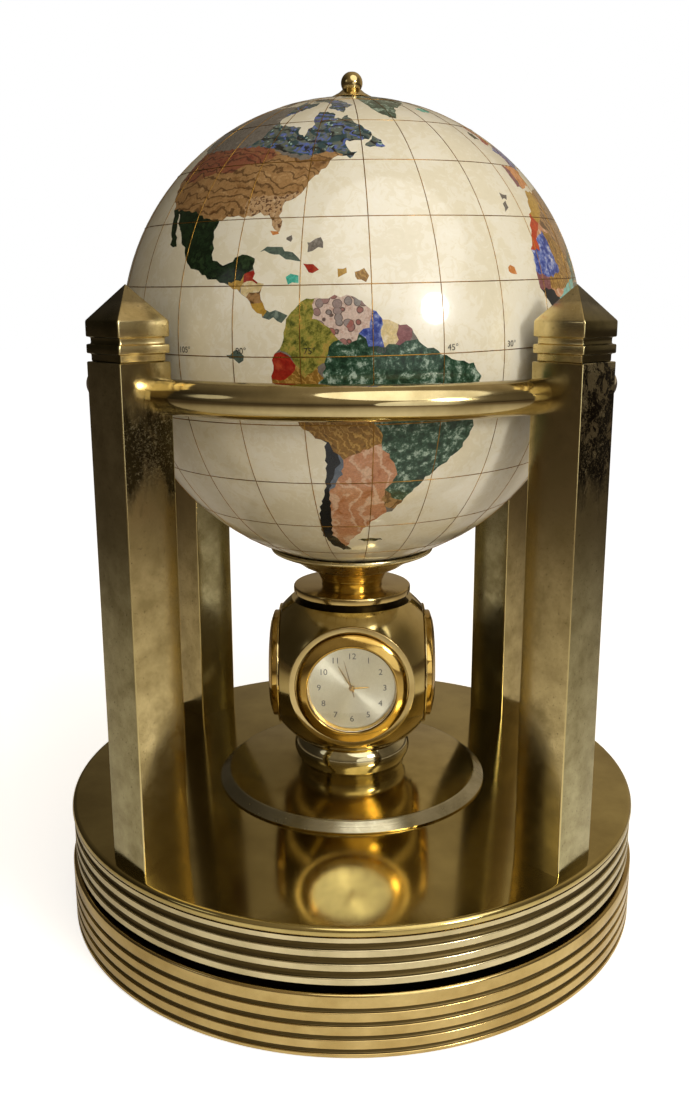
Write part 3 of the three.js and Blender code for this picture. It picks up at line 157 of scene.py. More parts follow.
front = add_node(tree, "Math", links={0: front, 1: raised}, operation="MULTIPLY")
above = add_node(tree, "MapRange", {"From Min": 0.45, "From Max": 0.95, "To Min": 0.0, "To Max": 0.3},
                 {"Value": axes.outputs["Z"]}, interpolation_type="SMOOTHSTEP")
side = add_node(tree, "MapRange", {"From Min": -0.7, "From Max": 0.1, "To Min": 0.25, "To Max": 1.0},
                {"Value": axes.outputs["X"]}, interpolation_type="SMOOTHSTEP")
above = add_node(tree, "Math", links={0: above, 1: side}, operation="MULTIPLY")
room = add_node(tree, "Math", links={0: front, 1: above}, operation="ADD")
room = add_node(tree, "Math", links={0: room, 1: right}, operation="ADD")
wall = add_node(tree, "VectorMath", {1: (0.56, 0.8, 0.2)}, {0: where.outputs["Generated"]},
                operation="DOT_PRODUCT")
wall = add_node(tree, "MapRange", {"From Min": 0.5, "From Max": 1.0, "To Min": 0.0, "To Max": 0.27},
                {"Value": wall.outputs["Value"]}, interpolation_type="SMOOTHSTEP")
room = add_node(tree, "Math", links={0: room, 1: wall}, operation="ADD")
path = add_node(tree, "LightPath")
eye = add_node(tree, "Math", links={0: path.outputs["Is Camera Ray"],
                                    1: path.outputs["Is Transmission Ray"]}, operation="MAXIMUM")
pale = add_node(tree, "Math", {1: 0.015}, {0: path.outputs["Is Glossy Ray"]}, operation="MULTIPLY")
room = add_node(tree, "Math", links={0: room, 1: pale}, operation="ADD")
room_light = add_node(tree, "Background", {"Color": linear("#ffeac8")}, {"Strength": room})
white = add_node(tree, "Background", {"Color": linear("#ffffff"), "Strength": 1.0})
backdrop = add_node(tree, "MixShader", links={0: eye, 1: room_light, 2: white})
add_node(tree, "OutputWorld", links={0: backdrop})

SOFT_BOXES = [("soft_box_above", (0.35, -0.7, 1.0), 1.3, 6.6), ("round_lamp_right", (0.66, -0.82, 0.47),
    0.24, 3.6),
              ("low_window", (0.43, -0.9, 0.13), 0.6, 0.9), ("card_left", (-1.0, -0.6, 0.6), 0.4, 0.25)]
for name, place, size, power in SOFT_BOXES:
    lamp_data = bpy.data.lights.new(name, "AREA")
    lamp_data.shape = "DISK"
    lamp_data.size = size
    lamp_data.energy = power
    lamp = bpy.data.objects.new(name, lamp_data)
    lamp.location = place
    lamp.rotation_euler = (Vector((0, 0, 0.15)) - Vector(place)).to_track_quat("-Z", "Y").to_euler()
    bpy.context.collection.objects.link(lamp)

# Lower drum: a ring spun from yellow brass, four round grooves turned in its wall, then buffed.
# Its web and the board that closes it are fixed inside; the ball race sits on the web.
MM = 0.001
LATHE_STEPS = 256


def finish_mesh(name, verts, faces, sharp=32):
    """A mesh in metres from points in millimetres, doubles merged, shaded smooth up to a crease angle."""
    mesh = bpy.data.meshes.new(name)
    mesh.from_pydata([[c * MM for c in v] for v in verts], [], faces)
    built = bmesh.new()
    built.from_mesh(mesh)
    bmesh.ops.remove_doubles(built, verts=built.verts, dist=1e-7)
    built.to_mesh(mesh)
    built.free()
    mesh.polygons.foreach_set("use_smooth", [True] * len(mesh.polygons))
    mesh.set_sharp_from_angle(angle=math.radians(sharp))
    return mesh


def lathe(name, profile, steps=LATHE_STEPS, sharp=32, place=None):
    """A turned piece from [radius, height] points that run up the outside and back down the bore."""
    verts, faces, rings = [], [], []
    for radius, height in profile:
        count = 1 if radius < 1e-6 else steps
        rings.append([len(verts) + k % count for k in range(steps)])
        verts += [(radius * math.cos(math.tau * k / steps), radius * math.sin(math.tau * k / steps), height)
                  for k in range(count)]
    pairs = list(zip(rings, rings[1:] + rings[:1]))
    if profile[0][0] < 1e-6 and profile[-1][0] < 1e-6:
        pairs.pop()
    for lower, upper in pairs:
        for k in range(steps):
            corners = [lower[k], lower[(k + 1) % steps], upper[(k + 1) % steps], upper[k]]
            faces.append([c for i, c in enumerate(corners) if c not in corners[:i]])
    if place is not None:
        verts = [place @ Vector(v) for v in verts]
    return finish_mesh(name, verts, faces, sharp)


def round_corner(before, corner, after, radius, steps=4):
    """Points that round one corner of a profile."""
    corner, to_before, to_after = Vector(corner), Vector(before) - Vector(corner), Vector(after) - Vector(corner)
    start = corner + to_before.normalized() * min(radius, to_before.length * 0.49)
    end = corner + to_after.normalized() * min(radius, to_after.length * 0.49)
    points = []
    for step in range(steps + 1):
        t = step / steps
        points.append(tuple(start.lerp(corner, t).lerp(corner.lerp(end, t), t)))
    return points


def soften(profile, radius, steps=3):
    """A closed profile with every corner off the axis rounded."""
    points = []
    for i, corner in enumerate(profile):
        before, after = profile[i - 1], profile[(i + 1) % len(profile)]
        if corner[0] < 1e-6:
            points.append(tuple(corner))
        else:
            points += round_corner(before, corner, after, radius, steps)
    return points


def grooved(radius, foot, foot_band, count, width, depth, band, lip=0.3):
    """The outside of a drum wall with round grooves, from the bottom up. The lips are rounded, so each
    band has a bright line along both its edges."""
    points, height = [], foot + foot_band
    for groove in range(count):
        for step in range(4):
            angle = math.pi * step / 8
            points.append((radius - lip * (1 - math.cos(angle)), height - lip * (1 - math.sin(angle))))
        for step in range(9):
            angle = math.pi * step / 8
            points.append((radius - lip - (depth - lip) * math.sin(angle) ** 0.8,
                           height + width * (1 - math.cos(angle)) / 2))
        for step in range(3, -1, -1):
            angle = math.pi * step / 8
            points.append((radius - lip * (1 - math.cos(angle)),
                           height + width + lip * (1 - math.sin(angle))))
        height += width + band
    return points


def brass(name, bright, deep, rough, turned=0.0, mottle=14.0, bump=0.05, rough_swing=0.08, groove_shade=None):
    """Buffed brass: two tones in soft patches, fine pits, and for turned pieces faint rings of the tool.
    Groove shade is the radius and the top, in millimetres, of a wall whose grooves are darkened as painted shade
    and made rougher."""
    material, tree = new_material(name)
    where = add_node(tree, "TexCoord")
    patches = add_node(tree, "TexNoise", {"Scale": 1 / (mottle * MM), "Detail": 5.0, "Roughness": 0.6},
                       {"Vector": where.outputs["Object"]})
    grain = add_node(tree, "TexNoise", {"Scale": 1 / (0.9 * MM), "Detail": 3.0, "Roughness": 0.7},
                     {"Vector": where.outputs["Object"]})
    axes = add_node(tree, "SeparateXYZ", links={0: where.outputs["Object"]})
    flat = add_node(tree, "CombineXYZ", links={0: axes, 1: axes.outputs[1]})
    reach = add_node(tree, "VectorMath", links={0: flat}, operation="LENGTH")
    ring = add_node(tree, "CombineXYZ", links={0: reach.outputs["Value"], 2: axes.outputs[2]})
    tool = add_node(tree, "TexNoise", {"Scale": 1 / (0.7 * MM), "Detail": 2.0}, {"Vector": ring})
    share = add_node(tree, "MapRange", {"From Min": 0.35, "From Max": 0.68},
                     {"Value": patches.outputs["Fac"]})
    mix = add_node(tree, "Mix", {6: linear(bright), 7: linear(deep)}, {0: share}, data_type="RGBA")
    rough_value = add_node(tree, "MapRange", {"From Min": 0.3, "From Max": 0.7,
                                              "To Min": max(rough - rough_swing, 0.02),
                                              "To Max": rough + rough_swing},
                           {"Value": patches.outputs["Fac"]})
    colour, roughness = mix.outputs[2], rough_value.outputs[0]
    if groove_shade:
        # Painted shade: the grooves of the wall darken towards #57492a.
        depth = add_node(tree, "Math", {0: groove_shade[0] * MM}, {1: reach.outputs["Value"]},
                         operation="SUBTRACT")
        groove_shade_mask = add_node(tree, "MapRange", {"From Min": 0.2 * MM, "From Max": 0.7 * MM}, {"Value": depth},
                         interpolation_type="SMOOTHSTEP")
        wall = add_node(tree, "Math", {1: groove_shade[1] * MM}, {0: axes.outputs[2]}, operation="LESS_THAN")
        groove_shade_mask = add_node(tree, "Math", links={0: groove_shade_mask, 1: wall}, operation="MULTIPLY")
        groove_shaded = add_node(tree, "Mix", {7: linear("#57492a")}, {0: groove_shade_mask, 6: colour}, data_type="RGBA")
        dull = add_node(tree, "Math", {1: 0.35}, {0: groove_shade_mask}, operation="MULTIPLY")
        dull = add_node(tree, "Math", links={0: dull, 1: roughness}, operation="ADD")
        colour, roughness = groove_shaded.outputs[2], dull.outputs[0]
    height = add_node(tree, "Math", {1: turned}, {0: tool.outputs["Fac"]}, operation="MULTIPLY")
    height = add_node(tree, "Math", links={0: height, 1: grain.outputs["Fac"]}, operation="ADD")
    relief = add_node(tree, "Bump", {"Strength": bump, "Distance": 0.05 * MM}, {"Height": height})
    shader = add_node(tree, "BsdfPrincipled", {"Metallic": 1.0}, {"Base Color": colour,
                                                                  "Roughness": roughness, "Normal": relief})
    add_node(tree, "OutputMaterial", links={0: shader})
    return material


# The drum's grooves are darkened as painted shade.
gold_brass = brass("buffed_yellow_brass", "#d2ba7e", "#b79d62", 0.14, turned=1.5, groove_shade=(100.3, 19.6))
LOWER_RADIUS, LOWER_FOOT, LOWER_TOP, DRUM_WALL = 100.3, 0.3, 20.8, 2.3
lower_profile = ([(LOWER_RADIUS - DRUM_WALL, LOWER_FOOT), (LOWER_RADIUS - 0.4, LOWER_FOOT), (LOWER_RADIUS,
    LOWER_FOOT + 0.4)]
                 + grooved(LOWER_RADIUS, LOWER_FOOT, 1.45, 4, 1.5, 0.8, 2.9)
                 + [(LOWER_RADIUS, LOWER_TOP - 0.8), (LOWER_RADIUS - 0.15, LOWER_TOP - 0.4),
                    (LOWER_RADIUS - 0.4, LOWER_TOP - 0.12), (LOWER_RADIUS - 0.8, LOWER_TOP),
                    (LOWER_RADIUS - DRUM_WALL, LOWER_TOP), (LOWER_RADIUS - DRUM_WALL, 14), (4.5, 14), (4.5,
                    12),
                    (LOWER_RADIUS - DRUM_WALL, 12)])
add_piece("lower_drum_spun", lathe("lower_drum_spun", lower_profile, 320), gold_brass, "lower_base",
          ["lower_drum"])

# Upper drum: paler brass, three wider grooves, running on the race with a dark gap below it.
# The drum's grooves are darkened as painted shade.
pale_brass = brass("buffed_pale_brass", "#dccfa6", "#c2b58c", 0.12, turned=1.5, groove_shade=(99.2, 37.0))
UPPER_RADIUS, UPPER_FOOT, PLATE_FOOT = 99.2, 22.9, 37.9
upper_profile = ([(4.3, UPPER_FOOT), (UPPER_RADIUS - 0.3, UPPER_FOOT), (UPPER_RADIUS, UPPER_FOOT + 0.3)]
                 + grooved(UPPER_RADIUS, UPPER_FOOT, 2.3, 3, 2.2, 1.0, 2.25)
                 + [(UPPER_RADIUS, PLATE_FOOT), (UPPER_RADIUS - DRUM_WALL, PLATE_FOOT),
                    (UPPER_RADIUS - DRUM_WALL, UPPER_FOOT + 2), (4.3, UPPER_FOOT + 2)])
add_piece("upper_drum_spun", lathe("upper_drum_spun", upper_profile, 320), pale_brass, "turntable",
          ["upper_drum"])

# Top plate: a disc of brass with a rounded bead, lapped until it mirrors the pedestal.
mirror_brass = brass("lapped_olive_brass", "#cbb878", "#a8945a", 0.11, mottle=30.0, bump=0.02,
                     rough_swing=0.02)
PLATE_RADIUS, PLATE_TOP = 99.6, 41.1
bead_middle = (PLATE_FOOT + PLATE_TOP) / 2
bead = []
for step in range(13):
    angle = -math.pi / 2 + math.pi * step / 12
    bead.append((PLATE_RADIUS - 1.6 + 1.6 * math.cos(angle) ** 0.8 if abs(math.cos(angle)) > 1e-9 else PLATE_RADIUS - 1.6,
                 bead_middle + 1.6 * math.sin(angle)))
plate_profile = [(3.3, PLATE_FOOT)] + bead + [(3.3, PLATE_TOP)]
add_piece("top_plate_lapped", lathe("top_plate_lapped", plate_profile, 320), mirror_brass, "turntable",
          ["top_plate"])

# Columns: square brass tube with its arrises just broken, standing square to the radius on feet
# riveted through the plate. The lacquer has gone in places: dark tarnish with silvery flakes.
COLUMN_CENTRE, COLUMN_HALF, COLUMN_WALL, COLUMN_TOP = 87.5, 8.33, 1.5, 193.4
CORNERS = [("front_left", -135), ("front_right", -45), ("rear_right", 45), ("rear_left", 135)]


def square_turned(name, profile, corner=0.4, place=None, sharp=32):
    """A square piece with rounded arrises from [half width, height] points that run up the outside."""
    verts, faces, rings = [], [], []
    for half, height in profile:
        if half < 1e-6:
            rings.append([len(verts)] * 20)
            verts.append((0, 0, height))
            continue
        radius = min(corner, half * 0.9)
        rings.append([len(verts) + k for k in range(20)])
        for quarter in range(4):
            for step in range(5):
                angle = math.pi / 2 * (quarter + step / 4)
                middle = math.pi / 2 * (quarter + 0.5)
                verts.append(((half - radius) * math.copysign(1,
                                                              math.cos(middle)) + radius * math.cos(angle),
                              (half - radius) * math.copysign(1,
                                                              math.sin(middle)) + radius * math.sin(angle),
                              height))
    pairs = list(zip(rings, rings[1:] + rings[:1]))
    if profile[0][0] < 1e-6 and profile[-1][0] < 1e-6:
        pairs.pop()
    for lower, upper in pairs:
        for k in range(20):
            corners = [lower[k], lower[(k + 1) % 20], upper[(k + 1) % 20], upper[k]]
            faces.append([c for i, c in enumerate(corners) if c not in corners[:i]])
    if place is not None:
        verts = [place @ Vector(v) for v in verts]
    return finish_mesh(name, verts, faces, sharp)


def worn_brass(name, outward_shaded_tone, cheek_lit_tone, tarnish_from, tarnish_to, rough):
    """Brass of a square column: a darker tone on the faces that look out and a lighter one on those that face
    along the ring, as painted shade and painted light, arrises in a pale tone, dark pits, and tarnish with
    silvery flakes that grows with the height."""
    material, tree = new_material(name)
    where = add_node(tree, "TexCoord")
    axes = add_node(tree, "SeparateXYZ", links={0: where.outputs["Object"]})
    across = add_node(tree, "Math", links={0: axes}, operation="ABSOLUTE")
    along = add_node(tree, "Math", links={0: axes.outputs[1]}, operation="ABSOLUTE")
    sideways = add_node(tree, "Math", links={0: across, 1: along}, operation="SUBTRACT")
    sideways = add_node(tree, "Math", {1: math.sqrt(0.5)}, {0: sideways}, operation="MULTIPLY")
    sideways = add_node(tree, "Math", links={0: sideways}, operation="ABSOLUTE")
    outward = add_node(tree, "Math", links={0: across, 1: along}, operation="ADD")
    outward = add_node(tree, "Math", {1: math.sqrt(0.5)}, {0: outward}, operation="MULTIPLY")
    outward = add_node(tree, "Math", {1: COLUMN_CENTRE * MM}, {0: outward}, operation="SUBTRACT")
    outward = add_node(tree, "Math", links={0: outward}, operation="ABSOLUTE")
    on_cheek = add_node(tree, "Math", links={0: sideways, 1: outward}, operation="GREATER_THAN")
    nearer = add_node(tree, "Math", links={0: sideways, 1: outward}, operation="MINIMUM")
    arris = add_node(tree, "MapRange", {"From Min": (COLUMN_HALF - 0.42) * MM,
                                        "From Max": (COLUMN_HALF - 0.2) * MM}, {"Value": nearer})
    patches = add_node(tree, "TexNoise", {"Scale": 1 / (9 * MM), "Detail": 6.0, "Roughness": 0.65},
                       {"Vector": where.outputs["Object"]})
    share = add_node(tree, "MapRange", {"From Min": 0.36, "From Max": 0.66},
                     {"Value": patches.outputs["Fac"]})
    # Painted shade and light: the outward faces take the darker tone, the cheeks the lighter one.
    tones = []
    for bright, deep in (outward_shaded_tone, cheek_lit_tone):
        tones.append(add_node(tree, "Mix", {6: linear(bright), 7: linear(deep)}, {0: share},
                              data_type="RGBA"))
    tone = add_node(tree, "Mix", links={0: on_cheek, 6: tones[0].outputs[2], 7: tones[1].outputs[2]},
                    data_type="RGBA")
    right = add_node(tree, "Math", {1: 0.0}, {0: axes}, operation="GREATER_THAN")
    favoured = add_node(tree, "Math", links={0: right, 1: on_cheek}, operation="SUBTRACT")
    favoured = add_node(tree, "Math", links={0: favoured}, operation="ABSOLUTE")
    rise = add_node(tree, "MapRange", {"From Min": tarnish_from * MM, "From Max": tarnish_to * MM},
                    {"Value": axes.outputs[2]}, interpolation_type="SMOOTHSTEP")
    reach = add_node(tree, "MapRange", {"To Min": 0.42, "To Max": 1.0}, {"Value": favoured})
    reach = add_node(tree, "Math", links={0: rise, 1: reach}, operation="MULTIPLY")
    rubbed = add_node(tree, "MapRange", {"From Min": 165 * MM, "From Max": 190 * MM, "To Max": 0.6},
                      {"Value": axes.outputs[2]}, interpolation_type="SMOOTHSTEP")
    rubbed = add_node(tree, "Math", links={0: rubbed, 1: on_cheek}, operation="MULTIPLY")
    reach = add_node(tree, "Math", links={0: reach, 1: rubbed}, operation="SUBTRACT")
    streaks = add_node(tree, "VectorMath", {1: (1.0, 1.0, 0.35)}, {0: where.outputs["Object"]},
                       operation="MULTIPLY")
    clouds = add_node(tree, "TexNoise", {"Scale": 1 / (8 * MM), "Detail": 8.0, "Roughness": 0.68},
                      {"Vector": streaks})
    tarnish = add_node(tree, "Math", {1: 0.95}, {0: clouds.outputs["Fac"]}, operation="MULTIPLY")
    tarnish = add_node(tree, "Math", links={0: tarnish, 1: reach}, operation="ADD")
    tarnish = add_node(tree, "MapRange", {"From Min": 0.93, "From Max": 1.13}, {"Value": tarnish})
    flakes = add_node(tree, "TexNoise", {"Scale": 1 / (0.9 * MM), "Detail": 8.0, "Roughness": 0.85},
                      {"Vector": where.outputs["Object"]})
    thinned = add_node(tree, "Math", {1: -0.3, 2: 0.15}, {0: clouds.outputs["Fac"]},
                       operation="MULTIPLY_ADD")
    thinned = add_node(tree, "Math", links={0: flakes.outputs["Fac"], 1: thinned}, operation="ADD")
    flaked = add_node(tree, "MapRange", {"From Min": 0.52, "From Max": 0.6}, {"Value": thinned})
    scabs = add_node(tree, "TexNoise", {"Scale": 1 / (3.6 * MM), "Detail": 8.0, "Roughness": 0.72,
                                        "Distortion": 0.6}, {"Vector": where.outputs["Object"]})
    high = add_node(tree, "MapRange", {"From Min": 135 * MM, "From Max": 185 * MM, "To Min": 0.66,
                                       "To Max": 0.5}, {"Value": axes.outputs[2]})
    bare = add_node(tree, "Math", links={0: scabs.outputs["Fac"], 1: high}, operation="SUBTRACT")
    bare = add_node(tree, "MapRange", {"From Min": 0.0, "From Max": 0.03}, {"Value": bare})
    bare = add_node(tree, "Math", links={0: bare, 1: right}, operation="MULTIPLY")
    flaked = add_node(tree, "Math", links={0: flaked, 1: bare}, operation="MAXIMUM")
    black = add_node(tree, "Mix", {6: linear("#463d24"), 7: linear("#261f0e")}, {0: right},
                     data_type="RGBA")
    stained = add_node(tree, "Mix", {7: linear("#b3a987")}, {0: flaked, 6: black.outputs[2]},
                       data_type="RGBA")
    tone = add_node(tree, "Mix", links={0: tarnish, 6: tone.outputs[2], 7: stained.outputs[2]},
                    data_type="RGBA")
    pits = add_node(tree, "TexNoise", {"Scale": 1 / (0.8 * MM), "Detail": 3.0, "Roughness": 0.7},
                    {"Vector": where.outputs["Object"]})
    pitted = add_node(tree, "MapRange", {"From Min": 0.63, "From Max": 0.7, "To Max": 0.75},
                      {"Value": pits.outputs["Fac"]})
    tone = add_node(tree, "Mix", {7: linear("#4a3d20")}, {0: pitted, 6: tone.outputs[2]}, data_type="RGBA")
    tone = add_node(tree, "Mix", {7: linear("#dccb93")}, {0: arris, 6: tone.outputs[2]}, data_type="RGBA")
    rough_value = add_node(tree, "MapRange", {"From Min": 0.3, "From Max": 0.7, "To Min": rough - 0.06,
                                              "To Max": rough + 0.1}, {"Value": patches.outputs["Fac"]})
    dull = add_node(tree, "Math", {1: 0.08}, {0: tarnish}, operation="MULTIPLY")
    rough_value = add_node(tree, "Math", links={0: rough_value, 1: dull}, operation="ADD")
    relief = add_node(tree, "Bump", {"Strength": 0.12, "Distance": 0.05 * MM},
                      {"Height": flakes.outputs["Fac"]})
    shader = add_node(tree, "BsdfPrincipled", {"Metallic": 1.0}, {"Base Color": tone.outputs[2],
                                                                  "Roughness": rough_value,
                                                                  "Normal": relief})
    add_node(tree, "OutputMaterial", links={0: shader})
    return material


# The outward faces get the greyer, darker tone as painted shade and the cheeks the warmer, lighter one as
# painted light.
column_brass = worn_brass("worn_column_brass", ("#b7af88", "#958b64"), ("#cbb987", "#a99869"), 124, 188,
                          0.14)
for corner, bearing in CORNERS:
    place = Matrix.Rotation(math.radians(bearing), 4, "Z") @ Matrix.Translation((COLUMN_CENTRE, 0, 0))
    bore = COLUMN_HALF - COLUMN_WALL
    shaft = [(bore, PLATE_TOP), (COLUMN_HALF, PLATE_TOP), (COLUMN_HALF, COLUMN_TOP - 0.2),
             (COLUMN_HALF - 0.2, COLUMN_TOP), (bore, COLUMN_TOP)]
    add_piece(f"column_{corner}", square_turned(f"column_{corner}", shaft, 0.45, place), column_brass,
              "turntable", [f"column_shaft_{corner}"])

# Column caps: cast brass, milled square with two grooves, a rib and a band, and a low pyramid on top.
# The outward faces are painted dark as painted shade and the cheeks bright as painted light.
cap_brass = worn_brass("milled_cap_brass", ("#7e7552", "#575034"), ("#efdda8", "#cdb87e"), 230, 330, 0.2)
for corner, bearing in CORNERS:
    place = Matrix.Rotation(math.radians(bearing), 4, "Z") @ Matrix.Translation((COLUMN_CENTRE, 0, 0))
    neck = COLUMN_HALF - 0.9
    steps = [(0, COLUMN_TOP), (neck, COLUMN_TOP), (neck, COLUMN_TOP + 2.2), (COLUMN_HALF, COLUMN_TOP + 2.2),
             (COLUMN_HALF, COLUMN_TOP + 4.8), (neck, COLUMN_TOP + 4.8), (neck, COLUMN_TOP + 6.7),
             (COLUMN_HALF, COLUMN_TOP + 6.7), (COLUMN_HALF, COLUMN_TOP + 11.1), (0, COLUMN_TOP + 20.9)]
    profile = [(0, COLUMN_TOP)] + soften(steps, 0.45)[1:]
    add_piece(f"cap_{corner}", square_turned(f"cap_{corner}", profile, 0.6, place), cap_brass, "turntable",
              [f"column_cap_{corner}"])

# Gallery ring: four arcs of drawn round brass rod, ends cut square to the columns and pegged in.
# It is even in tone and polished enough to carry sharp lines of light.
RAIL_RADIUS, RAIL_SECTION, RAIL_HEIGHT = 82, 5.0, 183.8
rail_brass = brass("polished_rail_brass", "#cbbb8c", "#a39265", 0.11, mottle=20.0, bump=0.03)
for index, bay in enumerate(["front", "right", "rear", "left"]):
    middle = -math.pi / 2 + index * math.pi / 2
    verts, faces = [], []
    sides, steps = 40, 64
    for step in range(steps + 1):
        for side in range(sides):
            turn = math.tau * side / sides
            radius = RAIL_RADIUS + RAIL_SECTION * math.cos(turn)
            half = math.pi / 4 - math.asin((COLUMN_HALF + 0.02) / radius)
            angle = middle + half * (2 * step / steps - 1)
            verts.append((radius * math.cos(angle), radius * math.sin(angle),
                          RAIL_HEIGHT + RAIL_SECTION * math.sin(turn)))
    for step in range(steps):
        for side in range(sides):
            a, b = step * sides + side, step * sides + (side + 1) % sides
            faces.append((a, a + sides, b + sides, b))
    faces.append(list(range(sides)))
    faces.append([steps * sides + side for side in reversed(range(sides))])
    mesh = finish_mesh(f"rail_{bay}", verts, faces)
    add_piece(f"rail_{bay}", mesh, rail_brass, "turntable", [f"gallery_arc_{bay}"])

# Pedestal skirt: spun from sheet, a bevelled foot and a shallow cone up to the collar.
# The cone is buffed and shows soft rings, and the bevel is brushed, so it stays pale and dull.
skirt = [(3.3, PLATE_TOP), (47.6, PLATE_TOP), (47.8, PLATE_TOP + 0.2), (47.8, PLATE_TOP + 0.6), (44.9,
                                                                                                 44.1),
         (44.6, 44.35), (44.2, 44.45), (22.6, 46.4), (20.4, 46.7), (19.2, 47.0), (18.6, 47.3), (3.3, 47.3)]
skirt_brass = brass("spun_skirt_brass", "#d0bd80", "#ab9558", 0.15, turned=1.0, mottle=26.0, bump=0.03)
skirt_mesh = lathe("skirt_spun", skirt)
add_piece("skirt_spun", skirt_mesh, skirt_brass, "turntable", ["pedestal_skirt"])
skirt_mesh.materials.append(brass("brushed_bevel_brass", "#c2bb9f", "#a59d7e", 0.22, turned=3.0, mottle=8.0,
                                  bump=0.1))
for polygon in skirt_mesh.polygons:
    if 44.3 * MM < math.hypot(polygon.center.x, polygon.center.y) < 47.9 * MM and polygon.normal.z > 0.2:
        polygon.material_index = 1

# Pedestal collar: a plump turned drum, buffed bright, clamped under the cube.
# It is buffed brightest of all, so its belly gathers long clean highlights.
collar = [(3.3, 47.3)]
for step in range(25):
    t = step / 24
    collar.append((17.2 + 3.6 * math.sin(math.pi * (0.06 + 0.9 * t)) ** 0.75, 47.3 + 11.0 * t))
collar += [(3.3, 58.3)]
collar_brass = brass("buffed_collar_brass", "#dcd2ab", "#aca078", 0.1, turned=1.0, bump=0.03)
add_piece("collar_turned", lathe("collar_turned", collar), collar_brass, "turntable", ["pedestal_collar"])

# Clock cube: a cube of brass turned down to a sphere, which leaves a round flat on every face, and
# bored on three sides for the instruments. It is buffed, so that its flats glow softly.
CUBE_HALF, SPHERE_RADIUS, CUBE_HEIGHT, FLAT_RADIUS = 24.7, 32.6, 83.0, 21.276
BORE_RADIUS, BORE_DEPTHS = 17.6, {(0, -1): 17.0, (1, 0): 6.9, (-1, 0): 6.9}
cube_mesh = bpy.data.meshes.new("cube_turned")
built = bmesh.new()
bmesh.ops.create_icosphere(built, subdivisions=6, radius=SPHERE_RADIUS)
for axis in range(3):
    for sign in (-1, 1):
        normal = Vector([sign if i == axis else 0 for i in range(3)])
        geometry = built.verts[:] + built.edges[:] + built.faces[:]
        cut = bmesh.ops.bisect_plane(built, geom=geometry, dist=1e-6, plane_co=normal * CUBE_HALF,
                                     plane_no=normal, clear_outer=True)
        edge = [e for e in cut["geom_cut"] if isinstance(e, bmesh.types.BMEdge)]
        depth = BORE_DEPTHS.get((normal.x, normal.y)) if axis < 2 else None
        if depth is None:
            bmesh.ops.edgeloop_fill(built, edges=edge)
            continue
        for shrink, push in ((BORE_RADIUS / FLAT_RADIUS, 0.0), (1.0, depth)):
            wall = bmesh.ops.extrude_edge_only(built, edges=edge)
            fresh = [v for v in wall["geom"] if isinstance(v, bmesh.types.BMVert)]
            edge = [e for e in wall["geom"] if isinstance(e, bmesh.types.BMEdge)]
            for v in fresh:
                flat = v.co - normal * v.co.dot(normal)
                v.co = flat * shrink + normal * (v.co.dot(normal) - push)
        bmesh.ops.edgeloop_fill(built, edges=edge)
bmesh.ops.recalc_face_normals(built, faces=built.faces)
bmesh.ops.transform(built, matrix=Matrix.Scale(MM, 4) @ Matrix.Translation((0, 0, CUBE_HEIGHT)),
                    verts=built.verts)
built.to_mesh(cube_mesh)
built.free()
cube_mesh.polygons.foreach_set("use_smooth", [True] * len(cube_mesh.polygons))
cube_mesh.set_sharp_from_angle(angle=math.radians(25))
cube_brass = brass("buffed_cube_brass", "#dac486", "#b29c5c", 0.13, mottle=24.0, bump=0.02,
                   rough_swing=0.03)
add_piece("cube_turned", cube_mesh, cube_brass, "turntable", ["clock_cube"])

# Rings round the instruments: turned brass, pressed on the cube's flats with a thin dark seam.
# Their rounded edges are polished, which draws bright circles.
SIDES = [("clock", 0), ("thermometer", 90), ("hygrometer", -90)]
ring_profile = soften([(19.1, 0.3), (21.2, 0.3), (21.2, 0.9), (19.1, 0.9)], 0.22, 4)
ring_brass = brass("polished_ring_brass", "#d9c48c", "#b79f66", 0.12, mottle=20.0, bump=0.03)


def on_face(bearing):
    """Where a piece drawn facing up lands on one side of the cube."""
    return (Matrix.Translation((0, 0, CUBE_HEIGHT)) @ Matrix.Rotation(math.radians(bearing), 4, "Z")
            @ Matrix.Translation((0, -CUBE_HALF, 0)) @ Matrix.Rotation(math.pi / 2, 4, "X"))


for side, bearing in SIDES:
    add_piece(f"{side}_ring_turned", lathe(f"{side}_ring_turned", ring_profile, 160,
                                           place=on_face(bearing)), ring_brass, "turntable",
              [f"{side}_ring"])

# Bezels: gold plated brass, a satin cone from the ring down to the glass and a rehaut below it.
# The plating is the deepest gold of the clock's face.
bezel_profile = [(16.1, 0.2), (18.6, 0.2), (18.8, 0.4), (18.8, 2.6), (18.7, 2.85), (18.4, 3.05), (15.75,
    3.93),
                 (15.4, 4.0), (15.2, 3.97), (15.05, 3.85), (15.0, 2.4), (14.7, 2.4), (14.3, 0.9), (16.1,
                     0.9)]
bezel_brass = brass("satin_gold_bezel", "#cfae62", "#ab873e", 0.12, mottle=12.0, bump=0.04)
for side, bearing in SIDES:
    body = "clock_insert" if side == "clock" else "turntable"
    add_piece(f"{side}_bezel_turned", lathe(f"{side}_bezel_turned", bezel_profile, 160,
                                            place=on_face(bearing)), bezel_brass, body, [f"{side}_bezel"])

